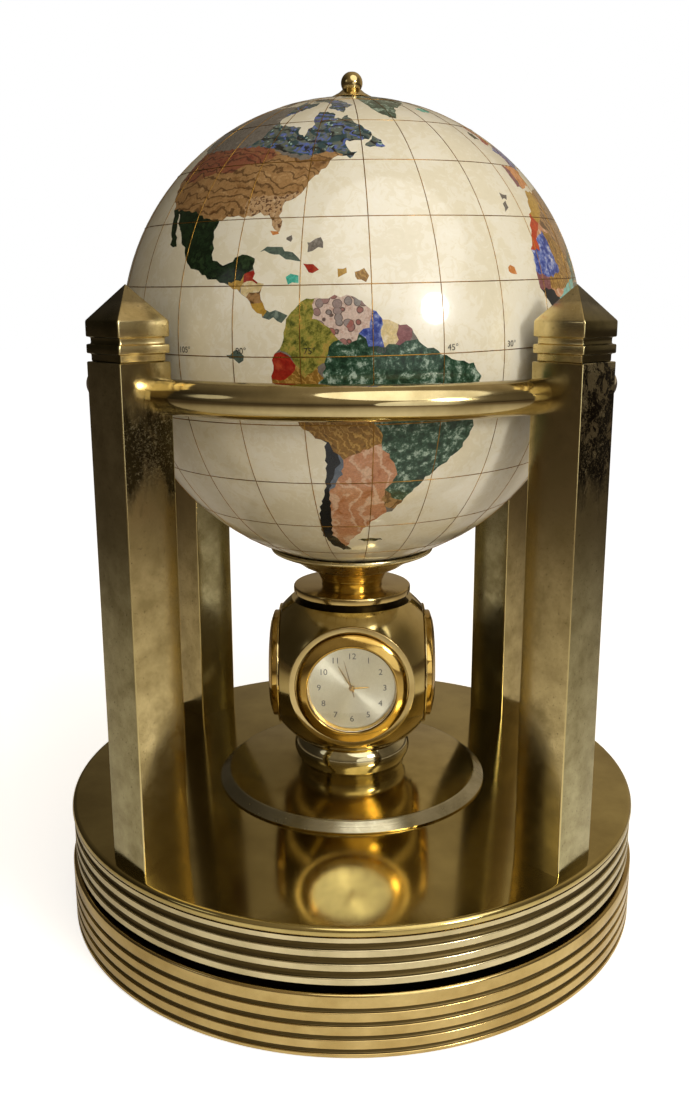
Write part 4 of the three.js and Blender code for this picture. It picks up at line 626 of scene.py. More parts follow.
# Dials: silvered plates brushed out from the centre, so that light lies on them in two fans. The
# clock has twelve applied figures; the meters carry printed scales, in degrees Celsius and percent.
DIAL_RADIUS, DIAL_BACK, DIAL_FACE, DIAL_HOLE = 15.8, 0.2, 0.7, 0.5
silver, tree = new_material("sunburst_silvered_dial")
where = add_node(tree, "TexCoord")
middle = add_node(tree, "VectorMath", {1: (0, 0, CUBE_HEIGHT * MM)}, {0: where.outputs["Object"]},
                  operation="SUBTRACT")
around = add_node(tree, "VectorMath", links={0: middle}, operation="NORMALIZE")
rays = add_node(tree, "TexNoise", {"Scale": 26.0, "Detail": 4.0, "Roughness": 0.7}, {"Vector": around})
tint = add_node(tree, "Mix", {6: linear("#e8e4d0"), 7: linear("#d2ccb2")}, {0: rays.outputs["Fac"]},
                data_type="RGBA")
turned_in_world = add_node(tree, "VectorTransform", links={0: middle}, vector_type="VECTOR",
                           convert_from="OBJECT", convert_to="WORLD")
facing = add_node(tree, "NewGeometry")
brushed = add_node(tree, "VectorMath", links={0: turned_in_world, 1: facing.outputs["Normal"]},
                   operation="CROSS_PRODUCT")
shader = add_node(tree, "BsdfPrincipled", {"Metallic": 1.0, "Roughness": 0.34, "Anisotropic": 0.9},
                  {"Base Color": tint.outputs[2], "Tangent": brushed})
add_node(tree, "OutputMaterial", links={0: shader})
for side, bearing in SIDES:
    plate = [(DIAL_HOLE, DIAL_BACK), (DIAL_RADIUS, DIAL_BACK), (DIAL_RADIUS, DIAL_FACE), (DIAL_HOLE,
                                                                                          DIAL_FACE)]
    add_piece(f"{side}_dial_plate", lathe(f"{side}_dial_plate", plate, 96, place=on_face(bearing)), silver,
              "clock_insert" if side == "clock" else "turntable", [f"{side}_dial"])

# Figures and ticks: black ink on the dials, a hair proud of the plate.
# The ink dries with a thin gloss, so it stays black but catches a little light.
ink, tree = new_material("black_printing_ink")
where = add_node(tree, "TexCoord")
worn = add_node(tree, "TexNoise", {"Scale": 1 / (0.5 * MM), "Detail": 2.0},
                {"Vector": where.outputs["Object"]})
tone = add_node(tree, "ValToRGB", links={"Fac": worn.outputs["Fac"]})
tone.color_ramp.elements[0].color = linear("#0d0c0b")
tone.color_ramp.elements[1].color = linear("#2a2622")
shader = add_node(tree, "BsdfPrincipled", {"Roughness": 0.3, "Coat Weight": 0.8, "Coat Roughness": 0.05},
                  {"Base Color": tone.outputs["Color"]})
add_node(tree, "OutputMaterial", links={0: shader})


def lettered(text, size):
    """Flat letters as points and faces, centred, in millimetres."""
    curve = bpy.data.curves.new("letters", "FONT")
    curve.body = text
    curve.size = size
    curve.align_x, curve.align_y = "CENTER", "CENTER"
    host = bpy.data.objects.new("letters", curve)
    bpy.context.collection.objects.link(host)
    bpy.context.view_layer.update()
    mesh = bpy.data.meshes.new_from_object(host.evaluated_get(bpy.context.evaluated_depsgraph_get()))
    points = [tuple(v.co) for v in mesh.vertices]
    polygons = [list(p.vertices) for p in mesh.polygons]
    bpy.data.objects.remove(host)
    bpy.data.curves.remove(curve)
    bpy.data.meshes.remove(mesh)
    return points, polygons


def figures(name, labels, size, bearing, body):
    """Flat figures at places on one dial, each upright, as one piece in ink."""
    verts, faces, place = [], [], on_face(bearing)
    for text, x, y in labels:
        points, polygons = lettered(text, size)
        start = len(verts)
        verts += [place @ Vector((x + px, y + py, DIAL_FACE + 0.05)) for px, py, _ in points]
        faces += [[start + i for i in polygon] for polygon in polygons]
    add_piece(name, finish_mesh(name, verts, faces, 180), ink, body, [])


NUMERAL_RADIUS, SCALE_RADIUS, SCALE_SWEEP = 11.0, 12.3, 240
twelve = [(str(hour), NUMERAL_RADIUS * math.sin(math.radians(30 * hour)),
           NUMERAL_RADIUS * math.cos(math.radians(30 * hour))) for hour in range(1, 13)]
figures("clock_figures", twelve, 2.9, 0, "clock_insert")
for side, bearing, values, sign in (("thermometer", 90, range(-20, 61, 20), "°C"), ("hygrometer", -90,
    range(0, 101, 20), "%")):
    labels = []
    for step, value in enumerate(values):
        angle = math.radians(-SCALE_SWEEP / 2 + SCALE_SWEEP * step / (len(values) - 1))
        labels.append((str(value), 9.2 * math.sin(angle), 9.2 * math.cos(angle)))
    figures(f"{side}_figures", labels + [(sign, 0, -5.5)], 2.4, bearing, "turntable")

tick_tree = bpy.data.node_groups.new("scale_ticks", "GeometryNodeTree")
for socket, kind in (("Count", "NodeSocketInt"), ("Long Every", "NodeSocketInt"), ("Sweep",
    "NodeSocketFloat"),
                     ("Scale Radius", "NodeSocketFloat"), ("Tick Length", "NodeSocketFloat"),
                     ("Tick Width", "NodeSocketFloat"), ("Ink", "NodeSocketMaterial")):
    tick_tree.interface.new_socket(name=socket, in_out="INPUT", socket_type=kind)
tick_tree.interface.new_socket(name="Geometry", in_out="OUTPUT", socket_type="NodeSocketGeometry")
given = add_node(tick_tree, "NodeGroupInput")
number = add_node(tick_tree, "GeometryNodeInputIndex")
last = add_node(tick_tree, "Math", {1: 1.0}, {0: given.outputs["Count"]}, operation="SUBTRACT")
share = add_node(tick_tree, "Math", links={0: number, 1: last}, operation="DIVIDE")
share = add_node(tick_tree, "Math", {0: 0.5}, {1: share}, operation="SUBTRACT")
angle = add_node(tick_tree, "Math", links={0: share, 1: given.outputs["Sweep"]}, operation="MULTIPLY")
turn = add_node(tick_tree, "CombineXYZ", links={2: angle})
minus = add_node(tick_tree, "Math", {1: -1.0}, {0: angle}, operation="MULTIPLY")
across = add_node(tick_tree, "Math", links={0: minus}, operation="SINE")
up = add_node(tick_tree, "Math", links={0: angle}, operation="COSINE")
aim = add_node(tick_tree, "CombineXYZ", links={0: across, 1: up})
spot = add_node(tick_tree, "VectorMath", links={0: aim, "Scale": given.outputs["Scale Radius"]},
                operation="SCALE")
points = add_node(tick_tree, "GeometryNodeMeshLine", {"Offset": (0, 0, 0)},
                  {"Count": given.outputs["Count"]})
placed = add_node(tick_tree, "GeometryNodeSetPosition", links={"Geometry": points, "Position": spot})
mark = add_node(tick_tree, "GeometryNodeMeshGrid", {"Vertices X": 2, "Vertices Y": 2},
                {"Size X": given.outputs["Tick Width"], "Size Y": given.outputs["Tick Length"]})
rest = add_node(tick_tree, "Math", links={0: number, 1: given.outputs["Long Every"]}, operation="MODULO")
is_long = add_node(tick_tree, "Math", {1: 0.5}, {0: rest}, operation="LESS_THAN")
stretch = add_node(tick_tree, "Math", {1: 0.8, 2: 1.0}, {0: is_long}, operation="MULTIPLY_ADD")
size = add_node(tick_tree, "CombineXYZ", {2: 1.0}, {0: stretch, 1: stretch})
marks = add_node(tick_tree, "GeometryNodeInstanceOnPoints", links={"Points": placed, "Instance": mark,
                                                                   "Rotation": turn, "Scale": size})
real = add_node(tick_tree, "GeometryNodeRealizeInstances", links={0: marks})
inked = add_node(tick_tree, "GeometryNodeSetMaterial", links={"Geometry": real,
                                                              "Material": given.outputs["Ink"]})
add_node(tick_tree, "NodeGroupOutput", links={0: inked})


def grown(name, tree, values, place=None):
    """The plain mesh that a node tree makes from its named inputs, placed in the frame."""
    host = bpy.data.objects.new(name, bpy.data.meshes.new(name + "_host"))
    bpy.context.collection.objects.link(host)
    modifier = host.modifiers.new(name, "NODES")
    modifier.node_group = tree
    for item in tree.interface.items_tree:
        if item.in_out == "INPUT" and item.name in values:
            modifier[item.identifier] = values[item.name]
    shown = host.evaluated_get(bpy.context.evaluated_depsgraph_get())
    mesh = bpy.data.meshes.new_from_object(shown)
    host.modifiers.remove(modifier)
    bpy.data.objects.remove(host)
    if place is not None:
        mesh.transform(place)
    mesh.name = name
    mesh.polygons.foreach_set("use_smooth", [True] * len(mesh.polygons))
    return mesh


for side, bearing, count, long_every in (("thermometer", 90, 41, 10), ("hygrometer", -90, 51, 10)):
    lifted = Matrix.Scale(MM, 4) @ on_face(bearing) @ Matrix.Translation((0, 0,
        DIAL_FACE + 0.05)) @ Matrix.Scale(1 / MM, 4)
    ticks = grown(f"{side}_ticks", tick_tree, {"Count": count, "Long Every": long_every,
                                               "Sweep": math.radians(SCALE_SWEEP),
                                               "Scale Radius": SCALE_RADIUS * MM, "Tick Length": 0.9 * MM,
                                               "Tick Width": 0.16 * MM, "Ink": ink}, lifted)
    add_piece(f"{side}_ticks", ticks, None, "turntable", [])

# Hands and pointers: pressed from thin brass sheet with a ridge along the middle, gold plated, each
# on an eye that grips its arbor. They stand at five to three, as in the photograph.
HANDS = [("hour_hand", 0, 0.243, 1.0, 5.9, 1.1, 0.5, 1.0, "hour_hand_body"),
         ("minute_hand", 0, 0.9167, 1.5, 9.4, 1.3, 0.4, 0.8, "minute_hand_body"),
         ("second_hand", 0, 0.9583, 2.0, 10.4, 2.8, 0.26, 0.65, "second_hand_body"),
         ("thermometer_pointer", 90, 0.03, 1.5, 10.8, 3.2, 0.6, 1.2, "thermometer_pointer_body"),
         ("hygrometer_pointer", -90, 0.96, 1.5, 10.8, 3.2, 0.6, 1.2, "hygrometer_pointer_body")]
gilt, tree = new_material("gilt_hand_brass")
where = add_node(tree, "TexCoord")
grain = add_node(tree, "TexNoise", {"Scale": 1 / (0.4 * MM), "Detail": 3.0},
                 {"Vector": where.outputs["Object"]})
tone = add_node(tree, "Mix", {6: linear("#d0ab58"), 7: linear("#a8843a")}, {0: grain.outputs["Fac"]},
                data_type="RGBA")
shader = add_node(tree, "BsdfPrincipled", {"Metallic": 1.0, "Roughness": 0.25},
                  {"Base Color": tone.outputs[2]})
add_node(tree, "OutputMaterial", links={0: shader})
for name, bearing, share, level, reach, tail, width, eye_radius, body in HANDS:
    place = on_face(bearing) @ Matrix.Rotation(-math.tau * share, 4, "Z")
    verts, faces = [], []
    for along, half in ((-tail, width * 0.5), (0, width * 0.55), (reach * 0.8, width * 0.42), (reach,
                                                                                               width * 0.12)):
        verts += [(-half, along, level), (-half, along, level + 0.08), (0, along, level + 0.2),
                  (half, along, level + 0.08), (half, along, level)]
    for row in range(3):
        for k in range(5):
            a, b = row * 5 + k, row * 5 + (k + 1) % 5
            faces.append((a, b, b + 5, a + 5))
    faces += [(4, 3, 2, 1, 0), (15, 16, 17, 18, 19)]
    blade = finish_mesh(f"{name}_blade", [place @ Vector(v) for v in verts], faces, 20)
    add_piece(f"{name}_blade", blade, gilt, body, [name])
    arbor = 0.4 if eye_radius < 1 else 0.45
    eye = [(0, -1.5), (arbor, -1.5), (arbor, level), (eye_radius, level), (eye_radius, level + 0.14),
           (eye_radius - 0.12, level + 0.25), (0, level + 0.25)]
    add_piece(f"{name}_eye", lathe(f"{name}_eye", eye, 32, place=place), gilt, body, [])

# Lenses: domed mineral glass pressed into each bezel, clear enough to lose but for its glints.
# A cloth left faint smears, and shadow rays pass so that the dials stay lit.
glass, tree = new_material("domed_mineral_glass")
where = add_node(tree, "TexCoord")
smear = add_node(tree, "TexNoise", {"Scale": 1 / (7 * MM), "Detail": 3.0},
                 {"Vector": where.outputs["Object"]})
smooth = add_node(tree, "MapRange", {"From Min": 0.4, "From Max": 0.75, "To Min": 0.0, "To Max": 0.05},
                  {"Value": smear.outputs["Fac"]})
path = add_node(tree, "LightPath")
clear = add_node(tree, "BsdfPrincipled", {"Base Color": linear("#fdfdfb"), "IOR": 1.52,
                                          "Transmission Weight": 1.0}, {"Roughness": smooth})
open_air = add_node(tree, "BsdfTransparent")
both = add_node(tree, "MixShader", links={0: path.outputs["Is Shadow Ray"], 1: clear, 2: open_air})
add_node(tree, "OutputMaterial", links={0: both})
LENS_RADIUS, LENS_FOOT, LENS_EDGE, LENS_CROWN = 14.8, 2.6, 3.4, 3.8
lens = [(0, LENS_FOOT), (LENS_RADIUS, LENS_FOOT), (LENS_RADIUS, LENS_EDGE - 0.1), (LENS_RADIUS - 0.1,
                                                                                   LENS_EDGE)]
for step in range(1, 9):
    reach = (LENS_RADIUS - 0.1) * (1 - step / 8)
    lens.append((reach, LENS_EDGE + (LENS_CROWN - LENS_EDGE) * (1 - (reach / (LENS_RADIUS - 0.1)) ** 2)))
for side, bearing in SIDES:
    add_piece(f"{side}_glass", lathe(f"{side}_glass", lens, 96, place=on_face(bearing)), glass,
              "clock_insert" if side == "clock" else "turntable", [f"{side}_lens"])

# Setting knob: black plastic on the movement's back, fluted so that a thumb can turn it.
# A fine grain in the mould keeps it from shining.
plastic, tree = new_material("moulded_black_abs")
where = add_node(tree, "TexCoord")
grain = add_node(tree, "TexNoise", {"Scale": 1 / (0.25 * MM), "Detail": 2.0},
                 {"Vector": where.outputs["Object"]})
tone = add_node(tree, "Mix", {6: linear("#232325"), 7: linear("#2f2f32")}, {0: grain.outputs["Fac"]},
                data_type="RGBA")
relief = add_node(tree, "Bump", {"Strength": 0.3, "Distance": 0.02 * MM}, {"Height": grain.outputs["Fac"]})
shader = add_node(tree, "BsdfPrincipled", {"Roughness": 0.45}, {"Base Color": tone.outputs[2],
                                                                "Normal": relief})
add_node(tree, "OutputMaterial", links={0: shader})
KNOB_OFFSET, KNOB_RADIUS, KNOB_OUTER, KNOB_INNER, KNOB_STEM = 8.5, 3.0, -15.3, -12.3, -10.0
verts, faces = [], []
for radius, height, flute in ((0, KNOB_OUTER, 0), (KNOB_RADIUS - 0.6, KNOB_OUTER, 0), (KNOB_RADIUS - 0.2,
    KNOB_OUTER + 0.3, 0.15),
                              (KNOB_RADIUS - 0.2, KNOB_INNER - 0.3, 0.2), (KNOB_RADIUS - 0.6, KNOB_INNER,
                              0), (1.1, KNOB_INNER, 0),
                              (1.1, KNOB_STEM, 0), (0, KNOB_STEM, 0)):
    for k in range(96):
        angle = math.tau * k / 96
        reach = radius + flute * math.cos(16 * angle)
        verts.append(on_face(0) @ Vector((reach * math.cos(angle), reach * math.sin(angle) - KNOB_OFFSET,
                                          height)))
for row in range(7):
    for k in range(96):
        a, b = row * 96 + k, row * 96 + (k + 1) % 96
        faces.append((a, b, b + 96, a + 96))
add_piece("setting_knob_fluted", finish_mesh("setting_knob_fluted", verts, faces, 40), plastic,
          "setting_knob_body", ["setting_knob"])


def repaint(material, *names):
    """A better material in the slots of CAD nodes whose shape is right."""
    for name in names:
        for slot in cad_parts[name].material_slots:
            slot.material = material


# Inside the cube: the movement, the meters' cases and the rubber band that grips the clock's bore.
# The rubber is dull and dusty, and the plastic is the knob's.
repaint(plastic, "clock_movement", "thermometer_case", "hygrometer_case")
rubber, tree = new_material("nitrile_band_rubber")
where = add_node(tree, "TexCoord")
dust = add_node(tree, "TexNoise", {"Scale": 1 / (0.8 * MM), "Detail": 4.0},
                {"Vector": where.outputs["Object"]})
tone = add_node(tree, "Mix", {6: linear("#1d1b1a"), 7: linear("#2e2b29")}, {0: dust.outputs["Fac"]},
                data_type="RGBA")
shader = add_node(tree, "BsdfPrincipled", {"Roughness": 0.85}, {"Base Color": tone.outputs[2]})
add_node(tree, "OutputMaterial", links={0: shader})
repaint(rubber, "clock_band")

# Disc on the cube: flat brass, bright at the edge, on a smaller seat that leaves a black line.
# The seat's brass is painted nearly black as painted shade under the disc.
disc = [(3.3, 107.7), (18.6, 107.7), (18.6, 109.9), (20.2, 109.9), (20.42, 110.0), (20.5, 110.25), (20.5,
                                                                                                    111.6),
        (20.42, 111.95), (20.2, 112.2), (19.8, 112.3), (3.3, 112.3)]
disc_mesh = lathe("disc_turned", disc)
add_piece("disc_turned", disc_mesh, gold_brass, "turntable", ["top_disc"])
# Painted shade: the seat's faces take a nearly black brass.
disc_mesh.materials.append(brass("seat_brass_painted_shade", "#2c2413", "#1b150a", 0.5, mottle=4.0))
for polygon in disc_mesh.polygons:
    if polygon.center.z < 109.92 * MM:
        polygon.material_index = 1

# Neck: a turned spool that flares to the cup, with fine rings in its upper half.
# Its brass is warmer and rougher, as it came from the tool.
neck = [(3.3, 112.3), (10.6, 112.3)]
for step in range(41):
    t = step / 40
    ripple = 0.14 * (1 - math.cos(math.tau * (t - 0.4) / 0.12)) / 2 if t > 0.4 else 0
    neck.append((10.6 + 2.3 * t * t + ripple - 0.1, 112.3 + 5.8 * t))
neck += [(12.9, 118.1), (3.3, 118.1)]
warm_brass = brass("warm_turned_brass", "#d2b25c", "#a8883c", 0.22, turned=2.0, bump=0.08)
add_piece("neck_turned", lathe("neck_turned", neck), warm_brass, "turntable", ["neck_spool"])

# Cup: spun brass that hugs the globe, its rolled rim close under the pearl.
# It is pale and satin, so it glows rather than mirrors.
GLOBE_RADIUS, GLOBE_HEIGHT = 75.0, 197.05
cup = [(3.3, 118.1), (12.9, 118.1), (15.4, 118.9), (17.4, 119.9), (19.0, 121.05), (21.0, 122.3), (23.4,
    123.4),
       (25.6, 124.2), (27.2, 124.9), (27.9, 125.3), (28.15, 125.75), (28.2, 126.2), (28.05, 126.55),
       (27.75, 126.7),
       (27.4, 126.7)]
for step in range(10):
    reach = 27.3 + (9.0 - 27.3) * step / 9
    cup.append((reach, GLOBE_HEIGHT - math.sqrt(75.5 ** 2 - reach ** 2)))
cup += [(9.0, 121.25), (3.3, 121.25)]
cup_brass = brass("spun_cup_brass", "#e2d3a2", "#bfae7c", 0.28, turned=1.0, bump=0.05)
add_piece("cup_spun", lathe("cup_spun", cup), cup_brass, "turntable", ["globe_cup"])

# Globe: a resin ball inlaid flush with thin slices of stone on a ground of mother of pearl, then
# lacquered and polished. Each land is cut from its own stone; fine brass wires mark every 15 degrees.
FRONT_LONGITUDE = -64.5
GRID_STEP = 3.0
# Coasts as longitude and latitude, drawn in the simple way that a stone cutter follows
COASTS = {
    "north_america": [-168, 66, -166, 68.5, -156, 71.3, -141, 69.6, -128, 70, -115, 68.5, -108, 68, -95,
        68, -94, 72,
        -90, 69, -82, 69.5, -82, 67, -87, 64.5, -94, 61, -94.5, 58.5, -92, 57, -88, 56.5, -82.5, 55, -82,
        52.5, -79, 51.5,
        -79, 54.5, -77, 56, -78.5, 58.5, -77.5, 62.4, -73.5, 62.3, -70, 61, -69.5, 59, -67, 58.5, -64.5,
        60.2, -61.5, 56.5,
        -57, 53.5, -55.7, 51, -59, 49.5, -65, 49.5, -65, 47, -63, 45.5, -61.5, 45.5, -64, 43.8, -66.5,
        44.8, -69.5, 43.5,
        -70.5, 41, -73.5, 39, -75.2, 36.5, -76, 34.5, -79, 33, -80.5, 31.5, -81, 29.5, -80, 26.8, -80.8,
        25.6, -82.3, 27.2,
        -83.5, 29.3, -86, 30, -89, 29.4, -93, 29.8, -97.3, 28.8, -98, 26, -97.3, 22.5, -96.5, 20.3, -94.5,
        19, -92, 18.8,
        -90.5, 20.6, -87.5, 21, -85.8, 20, -85.6, 18.2, -85.2, 15.8, -83.3, 14.6, -83.6, 11.5, -82.3, 9.6,
        -80.3, 9.3,
        -78.2, 8.6, -77.2, 7.9, -78.5, 7.1, -80.2, 7.7, -82.6, 7.6, -84.4, 9.2, -86, 11, -87.8, 13, -91.5,
        14.6,
        -94.5, 15.6, -97, 15.9, -101.8, 18, -104.5, 19.4, -106, 21.8, -109, 25.4, -112, 28.9, -114.2, 31.6,
        -113, 29,
        -111, 25.5, -109.7, 23, -112.4, 23.8, -114.4, 27.5, -116.6, 31.5, -118.5, 34, -121, 35.5, -122.5,
        37.8,
        -124.3, 40.4, -124, 46.3, -123, 49, -127.5, 51, -130.5, 54.5, -135, 58.5, -141, 60, -148, 60.8,
        -152, 59,
        -158, 56, -164, 54.6, -158, 58.6, -162, 60, -165.5, 62, -161, 64.4],
    "south_america": [-78.3, 6.5, -77, 8.6, -75, 11.2, -72.5, 12, -70.5, 11.4, -68, 12, -64, 12, -61.3,
        10.4, -59.5, 8.6,
        -57.5, 7.4, -54.5, 6.4, -52, 5.6, -50.5, 2.6, -48.5, 1.4, -45.5, 0, -42, -1.5, -38, -2.6, -36.3,
        -5, -35.6, -8,
        -36.2, -12, -37, -17, -38.5, -21, -42, -24.2, -45.8, -27.2, -49, -31, -51.3, -34, -53.3, -37,
        -57.5, -39.6,
        -60.5, -42.5, -63, -46, -66, -49.5, -67.5, -52.5, -66, -54.8, -69.5, -55, -73.5, -52, -75.2, -47,
        -75, -42.5,
        -74, -36, -72, -30.5, -71, -25, -70.5, -18.4, -74.5, -16, -77.5, -12, -80, -8, -81.5, -5, -81,
        -2.6, -80.6, 0.6,
        -79.2, 1.6, -78.6, 4],
    "greenland": [-43.5, 58.5, -50, 61.5, -53, 66, -55, 69.5, -59, 75.8, -70, 77.5, -63, 81, -45, 82.5,
        -25, 82.8,
        -13, 81.5, -20, 76, -22, 71, -31, 67.5, -39, 64.5],
    "baffin": [-61.5, 66.5, -68, 70.5, -80, 73.7, -88, 73.5, -88, 70.5, -79, 70, -73, 67.5, -74, 64.7, -66,
    62, -65, 64.5],
    "ellesmere": [-62, 82.5, -75, 83, -90, 81.5, -88, 77.5, -78, 76.5, -75, 79],
    "victoria": [-105, 69, -116, 69.2, -118, 72.5, -105, 73],
    "newfoundland": [-53, 47, -59, 47.6, -56, 50.8, -53.5, 49.3],
    "iceland": [-14, 65, -18, 63.4, -22.5, 64, -24, 65.5, -21, 66.3, -15, 66.4],
    "africa": [-17, 15, -16.6, 21, -13, 27.7, -9.7, 30.5, -6, 35.8, -1, 35.5, 3, 36.8, 10, 37.2, 11, 33.8,
        15.5, 32.3,
        20, 31, 22, 32.8, 29, 31, 32.5, 31.2, 34, 28, 37.3, 21, 39.5, 15.3, 43.2, 11.8, 51.2, 11.8, 47.5,
        4.3, 41.5, -1.8,
        39, -6.5, 40.6, -14.7, 35, -20, 35.4, -24, 32.8, -26, 31.5, -29.3, 27.5, -33.2, 22, -34, 18.4, -34,
        17.2, -29.5,
        14.5, -22.5, 11.8, -17, 13.6, -11.5, 12, -5.8, 9, -1, 9.7, 3.7, 6, 4.3, 1, 6, -4.5, 5.2, -7.7, 4.4,
        -11.5, 6.9,
        -13.3, 9, -16.7, 12.3],
    "eurasia": [-9.3, 37, -9.5, 38.7, -9.2, 43, -1.8, 43.4, -1.2, 46, -4.6, 48.4, -1.5, 49.6, 2.5, 51.1, 5,
        53.2,
        8.7, 53.9, 8.2, 57, 10.6, 57.6, 10.8, 54.5, 14, 54, 18.8, 54.6, 21.2, 56.8, 24, 57.5, 23.5, 59.2,
        29.5, 59.9,
        25, 60.3, 21.5, 61, 25.3, 65.2, 21.3, 64.5, 17.3, 61, 18.5, 59.5, 16, 56.3, 12.8, 55.6, 11, 59, 8,
        58.2, 5, 60,
        5, 62.2, 12, 66, 19, 70, 28, 71, 41, 67.5, 33.5, 66.7, 40, 64.6, 44, 66, 44, 68.4, 54, 68.7, 60,
        69.5, 68, 68.5,
        68, 72.7, 80, 73, 90, 75.5, 104, 77.6, 113, 74, 129, 71.8, 140, 72.6, 160, 70, 175, 69.5, 180,
        68.9, 180, 65,
        177.5, 62.5, 170.5, 60, 163.5, 59, 162, 55, 156.8, 51, 156, 57, 163, 61.5, 155, 59.4, 142, 59.3,
        135.2, 54.7,
        141, 53, 140, 48.5, 132, 43.2, 127.5, 39.8, 129.4, 36.5, 126.5, 34.5, 126.5, 37.5, 121.3, 39, 118,
        39,
        122.5, 37.3, 119.3, 35, 121.8, 31.5, 120.5, 28, 117, 23.6, 110, 21, 108, 21.6, 105.8, 19, 109, 14,
        109, 11.6,
        105, 8.7, 103, 11, 100.6, 13.4, 99.5, 10, 103.4, 4.5, 103.5, 1.4, 100.4, 5.5, 98.4, 8, 97.5, 16.5,
        94.3, 16,
        91.5, 22.5, 87, 21.3, 82.3, 16.7, 80.2, 13.5, 79.4, 10.3, 77.5, 8, 76, 11, 73, 18, 72.5, 21.5, 69,
        22,
        66.7, 25.2, 61.5, 25.2, 57.2, 26.8, 51.5, 27.8, 48.5, 30, 50.2, 26.5, 51.5, 24.5, 56.3, 26, 59.8,
        22.4,
        55.3, 17.5, 45, 12.8, 42.7, 16, 39, 21.5, 35, 28, 34.3, 31.5, 36, 36.5, 30.5, 36.3, 27, 37.3, 26.5,
        39.5,
        29, 41.4, 35, 42, 41.5, 41.7, 37.5, 44.8, 33.5, 44.6, 31, 46.6, 28, 43.8, 28, 41.9, 24, 40.8, 23,
        37, 19.5, 41.8,
        13.5, 45.6, 14, 42.5, 18.4, 40.2, 16, 38, 12, 41.8, 8.9, 44.4, 3.5, 43.3, 0, 40, -0.7, 37.7, -5.5,
        36.4],
    "far_siberia": [-180, 68.9, -175, 67.2, -170, 66, -173, 64.3, -180, 65],
    "britain": [-5.5, 50.1, 1.4, 51.2, 1.7, 52.7, -1.5, 55, -2, 57.6, -5, 58.6, -5, 55.5, -3, 54, -5, 52],
    "ireland": [-10, 52, -6.3, 52.2, -6, 54.6, -8.3, 55.2, -9.8, 54],
    "madagascar": [49.3, -12, 50.4, -15.8, 47.3, -24.8, 45, -25.5, 43.5, -22, 44.3, -16.3],
    "sri_lanka": [80.3, 9.4, 81.8, 7.3, 80.4, 6],
    "honshu": [130.9, 34, 136, 35.7, 139, 38, 140.3, 41.2, 142, 39.5, 140.8, 35.8, 135.8, 33.6, 131, 31.2],
    "hokkaido": [140, 41.7, 141.7, 45.4, 145.3, 43.3, 143, 42],
    "sakhalin": [142, 54, 143.3, 49.3, 142, 46.2],
    "luzon": [120.3, 16, 120.8, 18.5, 122.2, 18.3, 124, 13],
    "mindanao": [122, 7, 125.5, 9.7, 126.4, 7, 124, 6],
    "borneo": [109, 1.5, 113.5, 3.3, 117, 7, 119, 5, 117.5, 1, 116, -4, 110, -2.8],
    "sumatra": [95.3, 5.6, 99, 3.6, 104, -1.3, 106, -3.2, 105.3, -5.6, 100.5, -2],
    "java": [105.4, -6.9, 108.5, -6.7, 114.5, -7.8, 114.3, -8.7, 108, -7.8],
    "sulawesi": [119.4, -5.3, 119, -2.8, 120, 0.8, 125, 1.6, 121, -0.5, 122.8, -4],
    "new_guinea": [131, -0.8, 134.3, -2.8, 138, -1.6, 144.8, -3.9, 147.8, -6.2, 150.5, -10.5, 146.5, -8.8,
        142.5, -9.3,
        138, -8.3, 133, -4],
    "australia": [113.7, -22.5, 114.2, -26.3, 115.7, -32, 118, -35, 124, -33.2, 131, -31.5, 135.5, -34.8,
        138, -33,
        140.5, -38, 146.3, -39, 150, -37.3, 153, -31, 153.2, -25.5, 149, -20.8, 146, -18.5, 145, -14.8,
        142.5, -10.8,
        141, -13.5, 140.5, -17.5, 136, -15.5, 137, -12.2, 131, -11.5, 129.5, -14.9, 125.5, -14.2, 122.2,
        -18],
    "tasmania": [144.8, -40.8, 148.3, -40.9, 147, -43.5],
    "north_island": [172.8, -34.5, 176, -37.6, 178.5, -37.8, 175.2, -41.5, 173.8, -39.3, 174.8, -37],
    "south_island": [172.8, -40.8, 174.2, -41.8, 170.8, -45.8, 168.5, -46.6, 166.6, -45.8],
    "antarctica": [-180, -78, -150, -77, -130, -74.5, -100, -73, -75, -73, -66, -67, -57, -63.5, -61, -70,
        -60, -75,
        -30, -77, -15, -72.5, 10, -70, 40, -69, 60, -67, 85, -66.5, 110, -66, 135, -66, 160, -69.5, 170,
        -72, 165, -78,
        180, -78, 180, -86, 90, -86, 0, -86, -90, -86, -180, -86],
    "cuba": [-84.3, 21.6, -82, 22.7, -79.5, 22.4, -76.8, 20.8, -75, 19.4, -77.5, 19.4, -80, 20.6, -82,
    21.1],
    "bahama_west": [-82.6, 25.9, -80.9, 26, -80.6, 25, -82.2, 24.9],
    "bahama_east": [-78.8, 24.8, -77.6, 24.9, -76.8, 23.8, -77.6, 23.3],
    "caicos": [-74, 23.1, -70.6, 24.1, -70.3, 22.1, -73.3, 21.3],
    "hispaniola": [-74.2, 18.7, -72.2, 18.7, -71.4, 17.1, -73.6, 16.9],
    "jamaica": [-78.2, 16.2, -75.6, 16.5, -75.3, 15.2, -77.9, 14.6],
    "puerto_rico": [-67.1, 17.6, -65.1, 17.7, -65, 16.3, -66.6, 16],
    "antilles": [-63.6, 17.1, -61.8, 17.3, -60.5, 16.4, -61, 15, -62.9, 15.3],
    "galapagos": [-91.6, 0.1, -90, 1.2, -88.2, 1.1, -87.2, -0.4, -88.8, -1.6, -89.6, -0.6],
    "falklands": [-63.5, -49.3, -61, -48.5, -57, -48.7, -54.5, -49.4, -57, -50.4, -61, -50.2],
    "azores": [-22, 30.2, -21.3, 32.2, -19.8, 32.6, -20.2, 30.6],
    "azores_east": [-21.2, 33.2, -20.4, 34.6, -18, 34.4, -19, 33],
